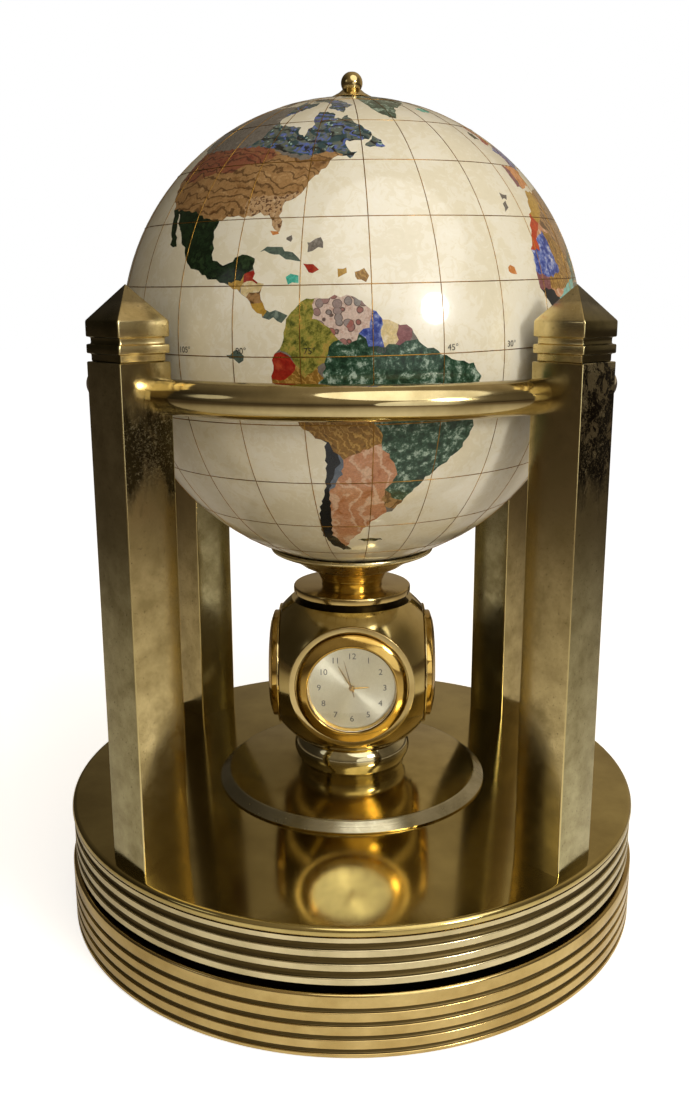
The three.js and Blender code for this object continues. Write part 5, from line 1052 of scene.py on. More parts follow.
    "cape_verde": [-27.2, 17.2, -25, 17.6, -24.3, 16, -26.2, 15.6],
}
# Stones, laid over the coasts in this order: a later one covers an earlier one. Each has the
# colours of its slice, the size of its figure in millimetres and how the figure runs.
STONES = {
    "abalone": ["#62695c", "#1e4046", "#5a6cb4", "#a5a497", 4.5, "shell"],
    "picture_jasper": ["#a07a4c", "#805a32", "#bb9564", "#4a2f18", 3.2, "veins"],
    "rose_picture_jasper": ["#8a5238", "#94683f", "#703424", "#42261a", 3.2, "veins"],
    "speckled_jasper": ["#b8966c", "#a37c50", "#cfb48c", "#4e2a1a", 0.9, "specks"],
    "nephrite": ["#141f10", "#22331c", "#0c140b", "#35492a", 5.0, "clouds"],
    "yellow_jasper": ["#a8802e", "#bd963f", "#7c5a1e", "#cfb163", 4.0, "clouds"],
    "red_jasper": ["#8e1f14", "#a5301d", "#6d120d", "#b4482c", 6.0, "clouds"],
    "green_serpentine": ["#5c6a5c", "#49574e", "#7b887a", "#38433d", 3.0, "clouds"],
    "gold_unakite": ["#6f6c2a", "#8f8b3c", "#414a1d", "#a78c42", 2.4, "moss"],
    "poppy_jasper": ["#9c6258", "#b08c7c", "#cdb6a6", "#3a2a26", 2.4, "breccia"],
    "sodalite": ["#35468f", "#6d7cb4", "#c9c6cf", "#222d68", 2.0, "clouds"],
    "cream_calcite": ["#cdb57c", "#dcc99c", "#b8955a", "#e6d9b8", 4.0, "clouds"],
    "rose_jasper": ["#8c5c5c", "#764545", "#a37676", "#603838", 3.0, "clouds"],
    "tiger_eye": ["#8a6428", "#a9803a", "#5a3d17", "#c39a4e", 1.6, "veins"],
    "moss_agate": ["#3f5d48", "#27432f", "#a9bba8", "#182f20", 2.4, "moss"],
    "black_onyx": ["#14171b", "#1d2126", "#0e1013", "#262b31", 8.0, "clouds"],
    "slate_agate": ["#5a6470", "#6c7682", "#49525d", "#7b858f", 6.0, "clouds"],
    "salmon_marble": ["#bf8660", "#cf9f7c", "#a8683f", "#dcbb9d", 4.5, "veins"],
    "turquoise": ["#3aa08a", "#55b8a0", "#2b7f70", "#7accb6", 3.0, "clouds"],
    "grey_agate": ["#7d756a", "#6a6258", "#978f83", "#544d45", 3.0, "clouds"],
    "orange_calcite": ["#c47a3c", "#d8975a", "#a8602a", "#e2b483", 4.0, "clouds"],
    "carnelian": ["#a9391a", "#bf4d24", "#8b2a12", "#d0683a", 5.0, "clouds"],
    "lapis": ["#24397f", "#31509c", "#1a2a60", "#8a8f6a", 3.0, "clouds"],
    "rhodonite": ["#a8606c", "#bb7a84", "#8c4c58", "#34282a", 3.5, "breccia"],
    "malachite": ["#2a5c40", "#3c7653", "#1a4029", "#5d9473", 2.2, "veins"],
    "white_howlite": ["#d9d5cb", "#c3beb2", "#ece9e1", "#a39d90", 4.0, "moss"],
    "amazonite": ["#6fae9e", "#8cc4b4", "#56958a", "#b6d6ca", 5.0, "clouds"],
}
LANDS = [
    ("abalone", "north_america", [-141, 60, -141, 72, -60, 84, -50, 60, -50, 44, -66, 43.5, -70.5, 46, -75,
        45,
        -83, 46, -90, 48, -95, 49, -124, 49, -131, 55]),
    ("grey_agate", "north_america", [-126, 49, -126, 72, -96, 74, -94, 60, -96, 52, -100, 49]),
    ("moss_agate", "north_america", [-141, 58, -141, 72, -170, 72, -170, 52, -150, 54]),
    ("picture_jasper", "north_america", [-126, 49, -95, 49, -90, 48, -83, 45, -77, 43.3, -74.5, 45.2,
        -70.5, 46, -66, 45,
        -66, 42, -70, 36, -79, 24, -84, 27, -90, 28, -97, 28.5, -101.5, 29.5, -107, 31.3, -114.5, 32, -118,
        32.5, -126, 36]),
    ("rose_picture_jasper", "north_america", [-126, 49, -95, 49, -90, 48, -86, 45.6, -90, 43.5, -96, 43,
        -101, 41, -108, 41.5,
        -114, 39.5, -126, 41]),
    ("speckled_jasper", "north_america", [-91, 33.5, -86, 34.6, -81, 34.2, -77, 35, -74, 33, -79, 24, -84,
    27, -90, 29]),
    ("nephrite", "north_america", [-118, 32.5, -114.5, 32, -107, 31.3, -101.5, 29.5, -97, 28.5, -94, 24,
        -84, 22.5,
        -84.5, 18, -88, 17.2, -88.4, 15.4, -91.6, 15.2, -92, 13, -105, 14, -118, 22]),
    ("yellow_jasper", "north_america", [-91.6, 15.2, -88.4, 15.4, -88, 17.2, -87.8, 15.2, -88.6, 13.9,
    -88.5, 12, -92, 13]),
    ("red_jasper", "north_america", [-88, 17.2, -84, 18, -84.6, 15.2, -87.8, 15.2]),
    ("cream_calcite", "north_america", [-87.8, 15.2, -84.6, 15.2, -82.5, 15.6, -84, 13.4, -87, 12.4, -88.6,
    13.9]),
    ("picture_jasper", "north_america", [-84, 13.4, -82.5, 15.6, -82.5, 11, -86.5, 10.8, -87, 12.4]),
    ("yellow_jasper", "north_america", [-86.5, 10.8, -82.5, 11, -82, 9.3, -82.9, 8.2, -84, 7.5]),
    ("green_serpentine", "north_america", [-82.9, 8.2, -82, 9.9, -77, 9.9, -76.8, 7, -80, 6.4, -82.7, 6.6]),
    ("gold_unakite", "south_america", [-80, 5, -77.5, 9.5, -74, 12.5, -71.8, 12.3, -72.3, 8, -69, 6, -67.4,
        3.5, -69.3, 1,
        -69.8, -1, -71.6, -2, -74.2, -4.5, -76, -1.2, -78, 1, -80, 2]),
    ("poppy_jasper", "south_america", [-71.8, 13, -60.5, 12, -60.3, 8, -61, 6, -62.6, 4.4, -65, 2.2, -67.4,
        3.5, -69, 6,
        -72.3, 8]),
    ("sodalite", "south_america", [-60.5, 12, -57.6, 9, -58.3, 4, -57.6, 1.8, -60.8, 2.2, -62.6, 4.4, -61,
    6, -60.3, 8]),
    ("cream_calcite", "south_america", [-57.6, 9, -54.8, 8, -55.3, 2.2, -57.6, 1.8, -58.3, 4]),
    ("rose_jasper", "south_america", [-54.8, 8, -51, 7, -52.3, 2.8, -55.3, 2.2]),
    ("red_jasper", "south_america", [-82, 0.4, -78.4, 0.9, -75.8, -1.3, -76.6, -3.6, -79.6, -4.8, -82, -4]),
    ("tiger_eye", "south_america", [-82, -4, -79.6, -4.8, -76.6, -3.6, -75.8, -1.3, -74.2, -4.5, -71.6, -2,
        -70.4, -4.4,
        -72.8, -7.5, -72, -10.5, -66, -10, -60.5, -13.6, -58, -16.5, -58.3, -19, -62, -20.2, -66.5, -22.2,
        -68.2, -21.4,
        -70, -18.2, -79, -18, -84, -8]),
    ("moss_agate", "south_america", [-69.8, -1, -69.3, 1, -67.4, 3.5, -65, 2.2, -62.6, 4.4, -60.8, 2.2,
        -57.6, 1.8,
        -55.3, 2.2, -52.3, 2.8, -50, 4, -32, -2, -32, -12, -40, -28, -50.5, -36, -53.5, -34, -56.4, -31,
        -54.5, -28,
        -54.2, -25.2, -55.8, -22.6, -58.3, -19, -58, -16.5, -60.5, -13.6, -66, -10, -72, -10.5, -72.8,
        -7.5, -70.4, -4.4]),
    ("black_onyx", "south_america", [-79, -18, -70, -18.2, -68.2, -21.4, -67.3, -23.2, -69.3, -27, -70.8,
        -32, -71.2, -37,
        -71.6, -42, -72, -47, -69.5, -50.5, -68.3, -52.8, -64, -54.6, -64, -57, -80, -57, -80, -30]),
    ("slate_agate", "south_america", [-68.2, -21.4, -66.5, -22.2, -67.4, -26.5, -70.8, -31.5, -69.7, -27,
    -67.3, -23.2]),
    ("salmon_marble", "south_america", [-66.5, -22.2, -62, -20.2, -58.3, -19, -55.8, -22.6, -54.2, -25.2,
        -54.5, -28,
        -56.4, -31, -57, -33.5, -55, -40, -58, -50, -64, -54.6, -68.3, -52.8, -69.5, -50.5, -72, -47,
        -71.6, -42,
        -71.2, -37, -70.8, -31.5, -67.4, -26.5]),
    ("picture_jasper", "south_america", [-57, -33.5, -56.4, -31, -53.5, -34, -50, -34.5, -52, -37.5, -56,
    -36.2]),
    ("moss_agate", "greenland", None), ("abalone", "baffin", None), ("abalone", "ellesmere", None),
    ("grey_agate", "victoria", None), ("abalone", "newfoundland", None), ("turquoise", "iceland", None),
    ("green_serpentine", "cuba", None), ("orange_calcite", "bahama_west", None), ("grey_agate",
    "bahama_east", None),
    ("grey_agate", "caicos", None), ("red_jasper", "hispaniola", None), ("turquoise", "jamaica", None),
    ("yellow_jasper", "puerto_rico", None), ("tiger_eye", "antilles", None), ("green_serpentine",
    "galapagos", None),
    ("nephrite", "falklands", None), ("grey_agate", "azores", None), ("grey_agate", "azores_east", None),
    ("orange_calcite", "cape_verde", None),
    ("salmon_marble", "africa", None),
    ("yellow_jasper", "africa", [-12, 31, -8.7, 27.3, -3, 30.5, -1, 33, -2, 37, -10, 37, -16, 28]),
    ("carnelian", "africa", [-20, 20.8, -13, 21, -13, 23.5, -8.7, 27.3, -12, 31, -20, 26]),
    ("sodalite", "africa", [-20, 20.8, -13, 21, -13, 23.5, -8.7, 25.5, -5.5, 16, -12, 14.7, -18, 16.2]),
    ("tiger_eye", "africa", [-5.5, 16, -8.7, 25.5, -5, 25, 4, 19, 4, 15, -5, 12, -12, 12.4, -12, 14.7]),
    ("rose_jasper", "africa", [-18, 16.2, -12, 14.7, -12, 12.4, -18, 12]),
    ("black_onyx", "africa", [-18, 12, -12, 12.4, -8, 10, -8, 3, -16, 6]),
    ("picture_jasper", "africa", [-8.7, 27.3, -3, 30.5, -1, 33, -2, 37, 9, 38, 9.5, 30, 12, 23.5, 4, 19,
    -5, 25]),
    ("nephrite", "africa", [9, 38, 9.5, 30, 12, 23.5, 24, 20, 25, 33, 11, 36]),
    ("cream_calcite", "africa", [25, 33, 25, 22, 36, 22, 36, 30, 32, 32]),
    ("red_jasper", "africa", [24, 20, 25, 22, 38, 22, 38, 15, 33, 8, 24, 9, 22, 13]),
    ("moss_agate", "africa", [4, 19, 12, 23.5, 24, 20, 22, 13, 14, 13, 13.5, 14, 4, 13.5]),
    ("amazonite", "africa", [-8, 10, -5, 12, 4, 15, 4, 3, -8, 3]),
    ("green_serpentine", "africa", [4, 13.5, 14, 13, 12, 7, 8, 3, 4, 3]),
    ("lapis", "africa", [38, 15, 44, 12, 52, 13, 52, 10, 42, 4, 35, 5, 33, 8]),
    ("tiger_eye", "africa", [14, 13, 22, 13, 24, 9, 27, 4, 18, 4, 9, 1, 9, 5, 12, 7]),
    ("moss_agate", "africa", [9, 1, 18, 4, 27, 4, 30, 2, 29, -8, 24, -11, 12, -6, 8, -2]),
    ("black_onyx", "africa", [30, 2, 35, 5, 43, 3, 43, -5, 34, -4, 29, -3]),
    ("orange_calcite", "africa", [29, -3, 34, -4, 43, -5, 43, -11, 33, -10, 29, -8]),
    ("rhodonite", "africa", [11, -6, 24, -11, 24, -17, 11, -17.5]),
    ("picture_jasper", "africa", [24, -11, 29, -8, 33, -10, 43, -11, 43, -17, 34, -27, 31, -22, 25, -17]),
    ("cream_calcite", "africa", [10, -17, 24, -17, 21, -22, 20, -29, 15, -30]),
    ("slate_agate", "africa", [24, -17, 25, -17, 31, -22, 27, -26, 20, -26, 21, -22]),
    ("nephrite", "africa", [15, -30, 20, -29, 20, -26, 27, -26, 31, -22, 34, -27, 34, -36, 15, -36]),
    ("rhodonite", "madagascar", None),
    ("green_serpentine", "eurasia", None),
    ("rose_jasper", "eurasia", [-11, 36, -6.9, 37, -6.5, 42, -9.5, 44, -12, 42]),
    ("orange_calcite", "eurasia", [-6.9, 35, -6.5, 42, -9.5, 44, -1.7, 44, 3.5, 42.4, 1, 35]),
    ("sodalite", "eurasia", [-1.7, 43.3, -6, 49, 2.5, 51.5, 8, 49, 7, 43, 3.5, 42.4]),
    ("yellow_jasper", "eurasia", [2.5, 51.5, 6, 55, 14, 55, 15, 50, 13, 47.5, 8, 47.5, 8, 49]),
    ("malachite", "eurasia", [7, 43, 8, 47.5, 13, 47.5, 14, 45.8, 20, 40, 15, 36]),
    ("carnelian", "eurasia", [14, 55, 15, 50, 23, 49, 24, 55]),
    ("picture_jasper", "eurasia", [13, 47.5, 15, 50, 23, 49, 30, 45, 28, 41, 22, 35, 18, 41]),
    ("amazonite", "eurasia", [3, 57, 12, 60, 12, 64, 20, 69, 31, 71, 20, 74, 0, 62]),
    ("rhodonite", "eurasia", [12, 60, 10, 55, 18, 55, 25, 66, 20, 69, 12, 64]),
    ("black_onyx", "eurasia", [20, 69, 25, 66, 20, 60, 31, 60, 30, 70]),
    ("yellow_jasper", "eurasia", [23, 49, 24, 55, 32, 52, 40, 50, 38, 46, 30, 43]),
    ("red_jasper", "eurasia", [26, 35, 26, 42.5, 44, 42.5, 44, 37]),
    ("cream_calcite", "eurasia", [34, 32, 42, 37, 48, 30, 56, 26, 60, 22, 44, 11, 38, 20]),
    ("tiger_eye", "eurasia", [44, 42.5, 44, 37, 48, 30, 56, 25, 62, 24, 61, 36, 54, 38]),
    ("lapis", "eurasia", [61, 24, 61, 36, 70, 38, 76, 36, 71, 28, 68, 23]),
    ("poppy_jasper", "eurasia", [47, 50, 60, 52, 75, 55, 87, 49, 80, 42, 70, 38, 54, 38]),
    ("orange_calcite", "eurasia", [68, 23, 71, 28, 76, 36, 79, 31, 88, 27, 97, 28, 92, 21, 85, 17, 78, 6,
    70, 16]),
    ("salmon_marble", "eurasia", [76, 36, 70, 38, 80, 42, 87, 49, 97, 43, 112, 43, 120, 50, 135, 48, 131,
        42, 124, 39,
        124, 30, 118, 21, 108, 19, 100, 22, 97, 28, 88, 27, 79, 31]),
    ("nephrite", "eurasia", [87, 49, 97, 43, 112, 43, 120, 50, 105, 52]),
    ("moss_agate", "eurasia", [92, 21, 97, 28, 100, 22, 108, 21, 110, 10, 104, 0, 97, 6]),
    ("rose_jasper", "eurasia", [124, 39, 131, 42, 131, 33, 124, 33]),
    ("green_serpentine", "far_siberia", None), ("red_jasper", "britain", None), ("nephrite", "ireland",
    None),
    ("lapis", "sri_lanka", None), ("red_jasper", "honshu", None), ("red_jasper", "hokkaido", None),
    ("green_serpentine", "sakhalin", None), ("carnelian", "luzon", None), ("carnelian", "mindanao", None),
    ("malachite", "borneo", None), ("malachite", "sumatra", None), ("malachite", "java", None),
    ("malachite", "sulawesi", None), ("tiger_eye", "new_guinea", None), ("picture_jasper", "australia",
    None),
    ("rhodonite", "australia", [112, -20, 112, -36, 129, -36, 129, -10, 120, -14]),
    ("yellow_jasper", "australia", [138, -26, 154, -28.5, 154, -10, 138, -10]),
    ("picture_jasper", "tasmania", None), ("turquoise", "north_island", None), ("turquoise",
    "south_island", None),
    ("white_howlite", "antarctica", None),
]


def pairs_of(numbers):
    """Longitude and latitude pairs from a flat list."""
    return [(numbers[i], numbers[i + 1]) for i in range(0, len(numbers), 2)]


def inside(point, outline):
    """Whether a point lies in a closed outline."""
    x, y = point
    within = False
    for (x0, y0), (x1, y1) in zip(outline, outline[1:] + outline[:1]):
        if (y0 > y) != (y1 > y) and x < (x1 - x0) * (y - y0) / (y1 - y0) + x0:
            within = not within
    return within


GLOBE_LEAN = Matrix.Rotation(math.radians(-1.12), 4, "Y") @ Matrix.Rotation(math.radians(1.24), 4, "X")


def on_globe(longitude, latitude, radius):
    """A point of the globe in millimetres, with the front longitude towards the clock. The map was
    laid a degree off the globe's own poles, as in the photograph."""
    turn, rise = math.radians(longitude - FRONT_LONGITUDE - 90), math.radians(latitude)
    point = GLOBE_LEAN @ Vector((radius * math.cos(rise) * math.cos(turn),
                                 radius * math.cos(rise) * math.sin(turn), radius * math.sin(rise)))
    return (point.x, point.y, point.z + GLOBE_HEIGHT)


def wobble(point, seed):
    """A small wander for cut edges, so that no coast runs ruler straight."""
    x, y = point
    return (x + 0.28 * math.sin(2.3 * y + seed) + 0.16 * math.sin(5.1 * y + 2.0 * x + seed),
            y + 0.28 * math.sin(2.1 * x + 1.7 * seed) + 0.16 * math.sin(4.7 * x - 1.6 * y + seed))


def traced(outline, seed, step=1.2):
    """An outline in short steps with a wandering edge. The map's own border keeps straight."""
    points = []
    for (x0, y0), (x1, y1) in zip(outline, outline[1:] + outline[:1]):
        count = max(1, round(math.hypot(x1 - x0, y1 - y0) / step))
        for k in range(count):
            point = (x0 + (x1 - x0) * k / count, y0 + (y1 - y0) * k / count)
            edge = abs(point[0]) > 179 or abs(point[1]) > 84
            points.append(point if edge else wobble(point, seed))
    return points


coasts = {name: traced(pairs_of(numbers), 0.0) for name, numbers in COASTS.items()}
lands = [(stone, coast, traced(pairs_of(numbers), 0.0) if numbers else None) for stone, coast,
         numbers in LANDS]
flat_points, flat_edges = [], []
columns, rows = round(360 / GRID_STEP), round(180 / GRID_STEP)
for row in range(1, rows):
    for column in range(columns + 1):
        flat_points.append(Vector((-180 + column * GRID_STEP, -90 + row * GRID_STEP)))
for column in range(columns + 1):
    flat_points.append(Vector((-180 + column * GRID_STEP, 90)))
    flat_points.append(Vector((-180 + column * GRID_STEP, -90)))
for outline in list(coasts.values()) + [line for _, _, line in lands if line]:
    start = len(flat_points)
    flat_points += [Vector((min(max(x, -180), 180), min(max(y, -89.9), 89.9))) for x, y in outline]
    flat_edges += [(start + k, start + (k + 1) % len(outline)) for k in range(len(outline))]
flat_verts, _, flat_faces, _, _, _ = delaunay_2d_cdt(flat_points, flat_edges, [], 0, 0.02)
coast_boxes = {name: (min(x for x, _ in line), max(x for x, _ in line), min(y for _, y in line),
                      max(y for _, y in line)) for name, line in coasts.items()}
stone_names = ["pearl"] + list(STONES)
verts, faces, stone_of = [on_globe(v.x, v.y, GLOBE_RADIUS) for v in flat_verts], [], []
for face in flat_faces:
    middle = (sum(flat_verts[i].x for i in face) / len(face),
              sum(flat_verts[i].y for i in face) / len(face))
    chosen = "pearl"
    home = None
    for name, (west, east, south, north) in coast_boxes.items():
        if west <= middle[0] <= east and south <= middle[1] <= north and inside(middle, coasts[name]):
            home = name
            break
    if home:
        for stone, coast, outline in lands:
            if coast == home and (outline is None or inside(middle, outline)):
                chosen = stone
        if chosen == "pearl":
            chosen = "grey_agate"
    faces.append(list(face))
    stone_of.append(stone_names.index(chosen))
globe_mesh = bpy.data.meshes.new("globe_inlaid")
globe_mesh.from_pydata([[c * MM for c in v] for v in verts], [], faces)
globe_mesh.polygons.foreach_set("material_index", stone_of)
built = bmesh.new()
built.from_mesh(globe_mesh)
bmesh.ops.remove_doubles(built, verts=built.verts, dist=1e-6)
bmesh.ops.dissolve_degenerate(built, edges=built.edges, dist=1e-7)
bmesh.ops.recalc_face_normals(built, faces=built.faces)
built.to_mesh(globe_mesh)
built.free()
globe_mesh.polygons.foreach_set("use_smooth", [True] * len(globe_mesh.polygons))


def stone_material(name, colours, figure, run):
    """Polished stone under clear lacquer. Clouds and moss mix four colours, veins are thin dark lines
    that wander over clouds, specks are dark grains, breccia has ringed lumps, and shell has layers
    with blue and green patches."""
    material, tree = new_material(name)
    where = add_node(tree, "TexCoord")
    bend = add_node(tree, "TexNoise", {"Scale": 1 / (2.2 * figure * MM), "Detail": 5.0},
                    {"Vector": where.outputs["Object"]})
    push = {"veins": 3.4, "shell": 3.0, "breccia": 0.5}.get(run, 0.8) * figure * MM
    shift = add_node(tree, "VectorMath", {1: (push, push, push)}, {0: bend.outputs["Color"]},
                     operation="MULTIPLY")
    bent = add_node(tree, "VectorMath", links={0: where.outputs["Object"], 1: shift}, operation="ADD")
    clouds = add_node(tree, "TexNoise", {"Scale": 1 / (figure * MM), "Detail": 8.0,
                                         "Roughness": 0.74 if run == "moss" else 0.62}, {"Vector": bent})
    ramp = add_node(tree, "ValToRGB", links={"Fac": clouds.outputs["Fac"]})
    while len(ramp.color_ramp.elements) < 4:
        ramp.color_ramp.elements.new(0.5)
    stops, order = (0.3, 0.45, 0.56, 0.68), (3, 0, 1, 2)
    if run == "moss":
        stops, order = (0.4, 0.47, 0.54, 0.62), (3, 1, 0, 2)
    elif run in ("veins", "specks", "breccia", "shell"):
        stops, order = (0.34, 0.46, 0.56, 0.68), (1, 2, 2, 1) if run == "breccia" else (1, 0, 0, 2)
    for element, stop, pick in zip(ramp.color_ramp.elements, stops, order):
        element.position = stop
        element.color = linear(colours[pick])
    tone = ramp.outputs["Color"]
    if run in ("veins", "shell"):
        lines = add_node(tree, "TexWave", {"Scale": 0.42 / (figure * MM), "Distortion": 5.0, "Detail": 4.0,
                                           "Detail Scale": 1.4}, {"Vector": bent},
                         bands_direction="DIAGONAL")
        low, high, depth = (0.0, 0.3, 0.75) if run == "veins" else (0.0, 0.4, 0.95)
        thin = add_node(tree, "MapRange", {"From Min": low, "From Max": high, "To Min": depth,
                                           "To Max": 0.0}, {"Value": lines.outputs["Fac"]},
                        interpolation_type="SMOOTHSTEP")
        dark = linear(colours[3]) if run == "veins" else linear("#14181a")
        mixed = add_node(tree, "Mix", {7: dark}, {0: thin, 6: tone}, data_type="RGBA")
        tone = mixed.outputs[2]
    if run == "shell":
        for size, colour, floor in ((6.0, colours[1], 0.5), (4.0, colours[2], 0.58), (2.4, "#a8c4b4",
                                                                                      0.64)):
            patch = add_node(tree, "TexNoise", {"Scale": 1 / (size * MM), "Detail": 2.0, "Distortion": 1.5},
                             {"Vector": where.outputs["Object"]})
            glint = add_node(tree, "MapRange", {"From Min": floor, "From Max": floor + 0.05,
                                                "To Max": 0.85}, {"Value": patch.outputs["Fac"]})
            mixed = add_node(tree, "Mix", {7: linear(colour)}, {0: glint, 6: tone}, data_type="RGBA")
            tone = mixed.outputs[2]
    if run == "specks":
        grains = add_node(tree, "TexNoise", {"Scale": 1 / (figure * MM), "Detail": 2.0, "Roughness": 0.5},
                          {"Vector": where.outputs["Object"]})
        dots = add_node(tree, "MapRange", {"From Min": 0.54, "From Max": 0.6, "To Max": 0.85},
                        {"Value": grains.outputs["Fac"]})
        mixed = add_node(tree, "Mix", {7: linear(colours[3])}, {0: dots, 6: tone}, data_type="RGBA")
        tone = mixed.outputs[2]
    if run == "breccia":
        lumps = add_node(tree, "TexVoronoi", {"Scale": 1 / (figure * MM), "Randomness": 1.0},
                         {"Vector": bent}, feature="F1")
        lump = add_node(tree, "MapRange", {"From Min": 0.5, "From Max": 0.46},
                        {"Value": lumps.outputs["Distance"]})
        pick = add_node(tree, "SeparateColor", links={0: lumps.outputs["Color"]})
        inner = add_node(tree, "Mix", {6: linear(colours[0]), 7: linear("#8f8a84")}, {0: pick},
                         data_type="RGBA")
        mixed = add_node(tree, "Mix", links={0: lump, 6: tone, 7: inner.outputs[2]}, data_type="RGBA")
        edge = add_node(tree, "Math", {1: 0.49}, {0: lumps.outputs["Distance"]}, operation="SUBTRACT")
        edge = add_node(tree, "Math", links={0: edge}, operation="ABSOLUTE")
        edge = add_node(tree, "MapRange", {"From Min": 0.05, "From Max": 0.02, "To Max": 0.8},
                        {"Value": edge})
        mixed = add_node(tree, "Mix", {7: linear(colours[3])}, {0: edge, 6: mixed.outputs[2]},
                         data_type="RGBA")
        tone = mixed.outputs[2]
    speck = add_node(tree, "TexNoise", {"Scale": 1 / (0.6 * MM), "Detail": 4.0, "Roughness": 0.7},
                     {"Vector": where.outputs["Object"]})
    dust = add_node(tree, "MapRange", {"From Min": 0.3, "From Max": 0.7, "To Min": 0.75, "To Max": 1.15},
                    {"Value": speck.outputs["Fac"]})
    tinted = add_node(tree, "VectorMath", links={0: tone, 1: dust}, operation="MULTIPLY")
    shader = add_node(tree, "BsdfPrincipled", {"Roughness": 0.25, "IOR": 1.55, "Specular IOR Level": 0.15,
                                               "Coat Weight": 0.4, "Coat Roughness": 0.07, "Coat IOR": 1.5},
                      {"Base Color": tinted})
    add_node(tree, "OutputMaterial", links={0: shader})
    return material


# Mother of pearl: crushed shell set in cream resin, so it shows paler flakes and soft clouds
pearl, tree = new_material("crushed_mother_of_pearl")
where = add_node(tree, "TexCoord")
clouds = add_node(tree, "TexNoise", {"Scale": 1 / (16 * MM), "Detail": 4.0, "Roughness": 0.55},
                  {"Vector": where.outputs["Object"]})
bend = add_node(tree, "VectorMath", {1: (7 * MM, 7 * MM, 7 * MM)}, {0: clouds.outputs["Color"]},
                operation="MULTIPLY")
bent = add_node(tree, "VectorMath", links={0: where.outputs["Object"], 1: bend}, operation="ADD")
flakes = add_node(tree, "TexNoise", {"Scale": 1 / (3.4 * MM), "Detail": 3.0, "Roughness": 0.7,
                                     "Distortion": 1.2}, {"Vector": bent})
tone = add_node(tree, "Math", links={0: flakes.outputs["Fac"], 1: clouds.outputs["Fac"]}, operation="ADD")
ramp = add_node(tree, "ValToRGB", links={"Fac": tone})
while len(ramp.color_ramp.elements) < 4:
    ramp.color_ramp.elements.new(0.5)
for element, stop, colour in zip(ramp.color_ramp.elements, (0.72, 0.95, 1.0, 1.0), ("#e4dabc", "#e8dec1",
                                                                                    "#eae1c6", "#ede5cd")):
    element.position = stop
    element.color = linear(colour)
shine = add_node(tree, "MapRange", {"From Min": 1.1, "From Max": 1.24, "To Max": 0.4}, {"Value": tone})
ground = add_node(tree, "Mix", {7: linear("#f3eedd")}, {0: shine, 6: ramp.outputs["Color"]},
                  data_type="RGBA")
shader = add_node(tree, "BsdfPrincipled", {"Roughness": 0.3, "IOR": 1.53, "Coat Weight": 0.9,
                                           "Coat Roughness": 0.07, "Coat IOR": 1.5},
                  {"Base Color": ground.outputs[2]})
add_node(tree, "OutputMaterial", links={0: shader})
globe_mesh.materials.append(pearl)
for name, values in STONES.items():
    globe_mesh.materials.append(stone_material(name, values[:4], values[4], values[5]))
add_piece("globe_inlaid", globe_mesh, None, "globe", ["globe_north", "globe_south"])

# Wires: flat brass wire let into the surface, 24 meridians and 11 parallels, ground flush with it. The
# parallels were cut by hand and lie up to two degrees closer to the equator, as in the photograph.
wire_tree = bpy.data.node_groups.new("brass_wire_net", "GeometryNodeTree")
for socket, kind in (("Globe Radius", "NodeSocketFloat"), ("Wire Radius", "NodeSocketFloat"),
                     ("Meridians", "NodeSocketInt"), ("Wire", "NodeSocketMaterial")):
    wire_tree.interface.new_socket(name=socket, in_out="INPUT", socket_type=kind)
wire_tree.interface.new_socket(name="Geometry", in_out="OUTPUT", socket_type="NodeSocketGeometry")
given = add_node(wire_tree, "NodeGroupInput")
circle = add_node(wire_tree, "GeometryNodeCurvePrimitiveCircle", {"Resolution": 180},
                  {"Radius": given.outputs["Globe Radius"]})
upright = add_node(wire_tree, "GeometryNodeTransform", {"Rotation": (math.pi / 2, 0, 0)},
                   {"Geometry": circle})
half = add_node(wire_tree, "Math", {1: 0.5}, {0: given.outputs["Meridians"]}, operation="MULTIPLY")
places = add_node(wire_tree, "GeometryNodeMeshLine", {"Offset": (0, 0, 0)}, {"Count": half})
number = add_node(wire_tree, "GeometryNodeInputIndex")
share = add_node(wire_tree, "Math", links={0: number, 1: given.outputs["Meridians"]}, operation="DIVIDE")
turn = add_node(wire_tree, "Math", {1: math.tau}, {0: share}, operation="MULTIPLY")
turned = add_node(wire_tree, "CombineXYZ", links={2: turn})
meridians = add_node(wire_tree, "GeometryNodeInstanceOnPoints", links={"Points": places,
                                                                       "Instance": upright,
                                                                       "Rotation": turned})
levels = add_node(wire_tree, "GeometryNodeMeshLine", {"Count": 11, "Offset": (0, 0, 0)})
rise = add_node(wire_tree, "Math", {1: 5.0}, {0: number}, operation="SUBTRACT")
share = add_node(wire_tree, "Math", {1: 6.0}, {0: rise}, operation="DIVIDE")
faded = add_node(wire_tree, "Math", {1: 8.0}, {0: share}, operation="POWER")
faded = add_node(wire_tree, "Math", {0: 1.0}, {1: faded}, operation="SUBTRACT")
closer = add_node(wire_tree, "Math", links={0: share, 1: faded}, operation="MULTIPLY")
closer = add_node(wire_tree, "Math", {1: math.radians(3.5)}, {0: closer}, operation="MULTIPLY")
rise = add_node(wire_tree, "Math", {1: math.radians(15)}, {0: rise}, operation="MULTIPLY")
rise = add_node(wire_tree, "Math", links={0: rise, 1: closer}, operation="SUBTRACT")
high = add_node(wire_tree, "Math", links={0: rise}, operation="SINE")
high = add_node(wire_tree, "Math", links={0: high, 1: given.outputs["Globe Radius"]}, operation="MULTIPLY")
wide = add_node(wire_tree, "Math", links={0: rise}, operation="COSINE")
spot = add_node(wire_tree, "CombineXYZ", links={2: high})
placed = add_node(wire_tree, "GeometryNodeSetPosition", links={"Geometry": levels, "Position": spot})
parallels = add_node(wire_tree, "GeometryNodeInstanceOnPoints", links={"Points": placed, "Instance": circle,
                                                                       "Scale": wide})
joined = add_node(wire_tree, "GeometryNodeJoinGeometry")
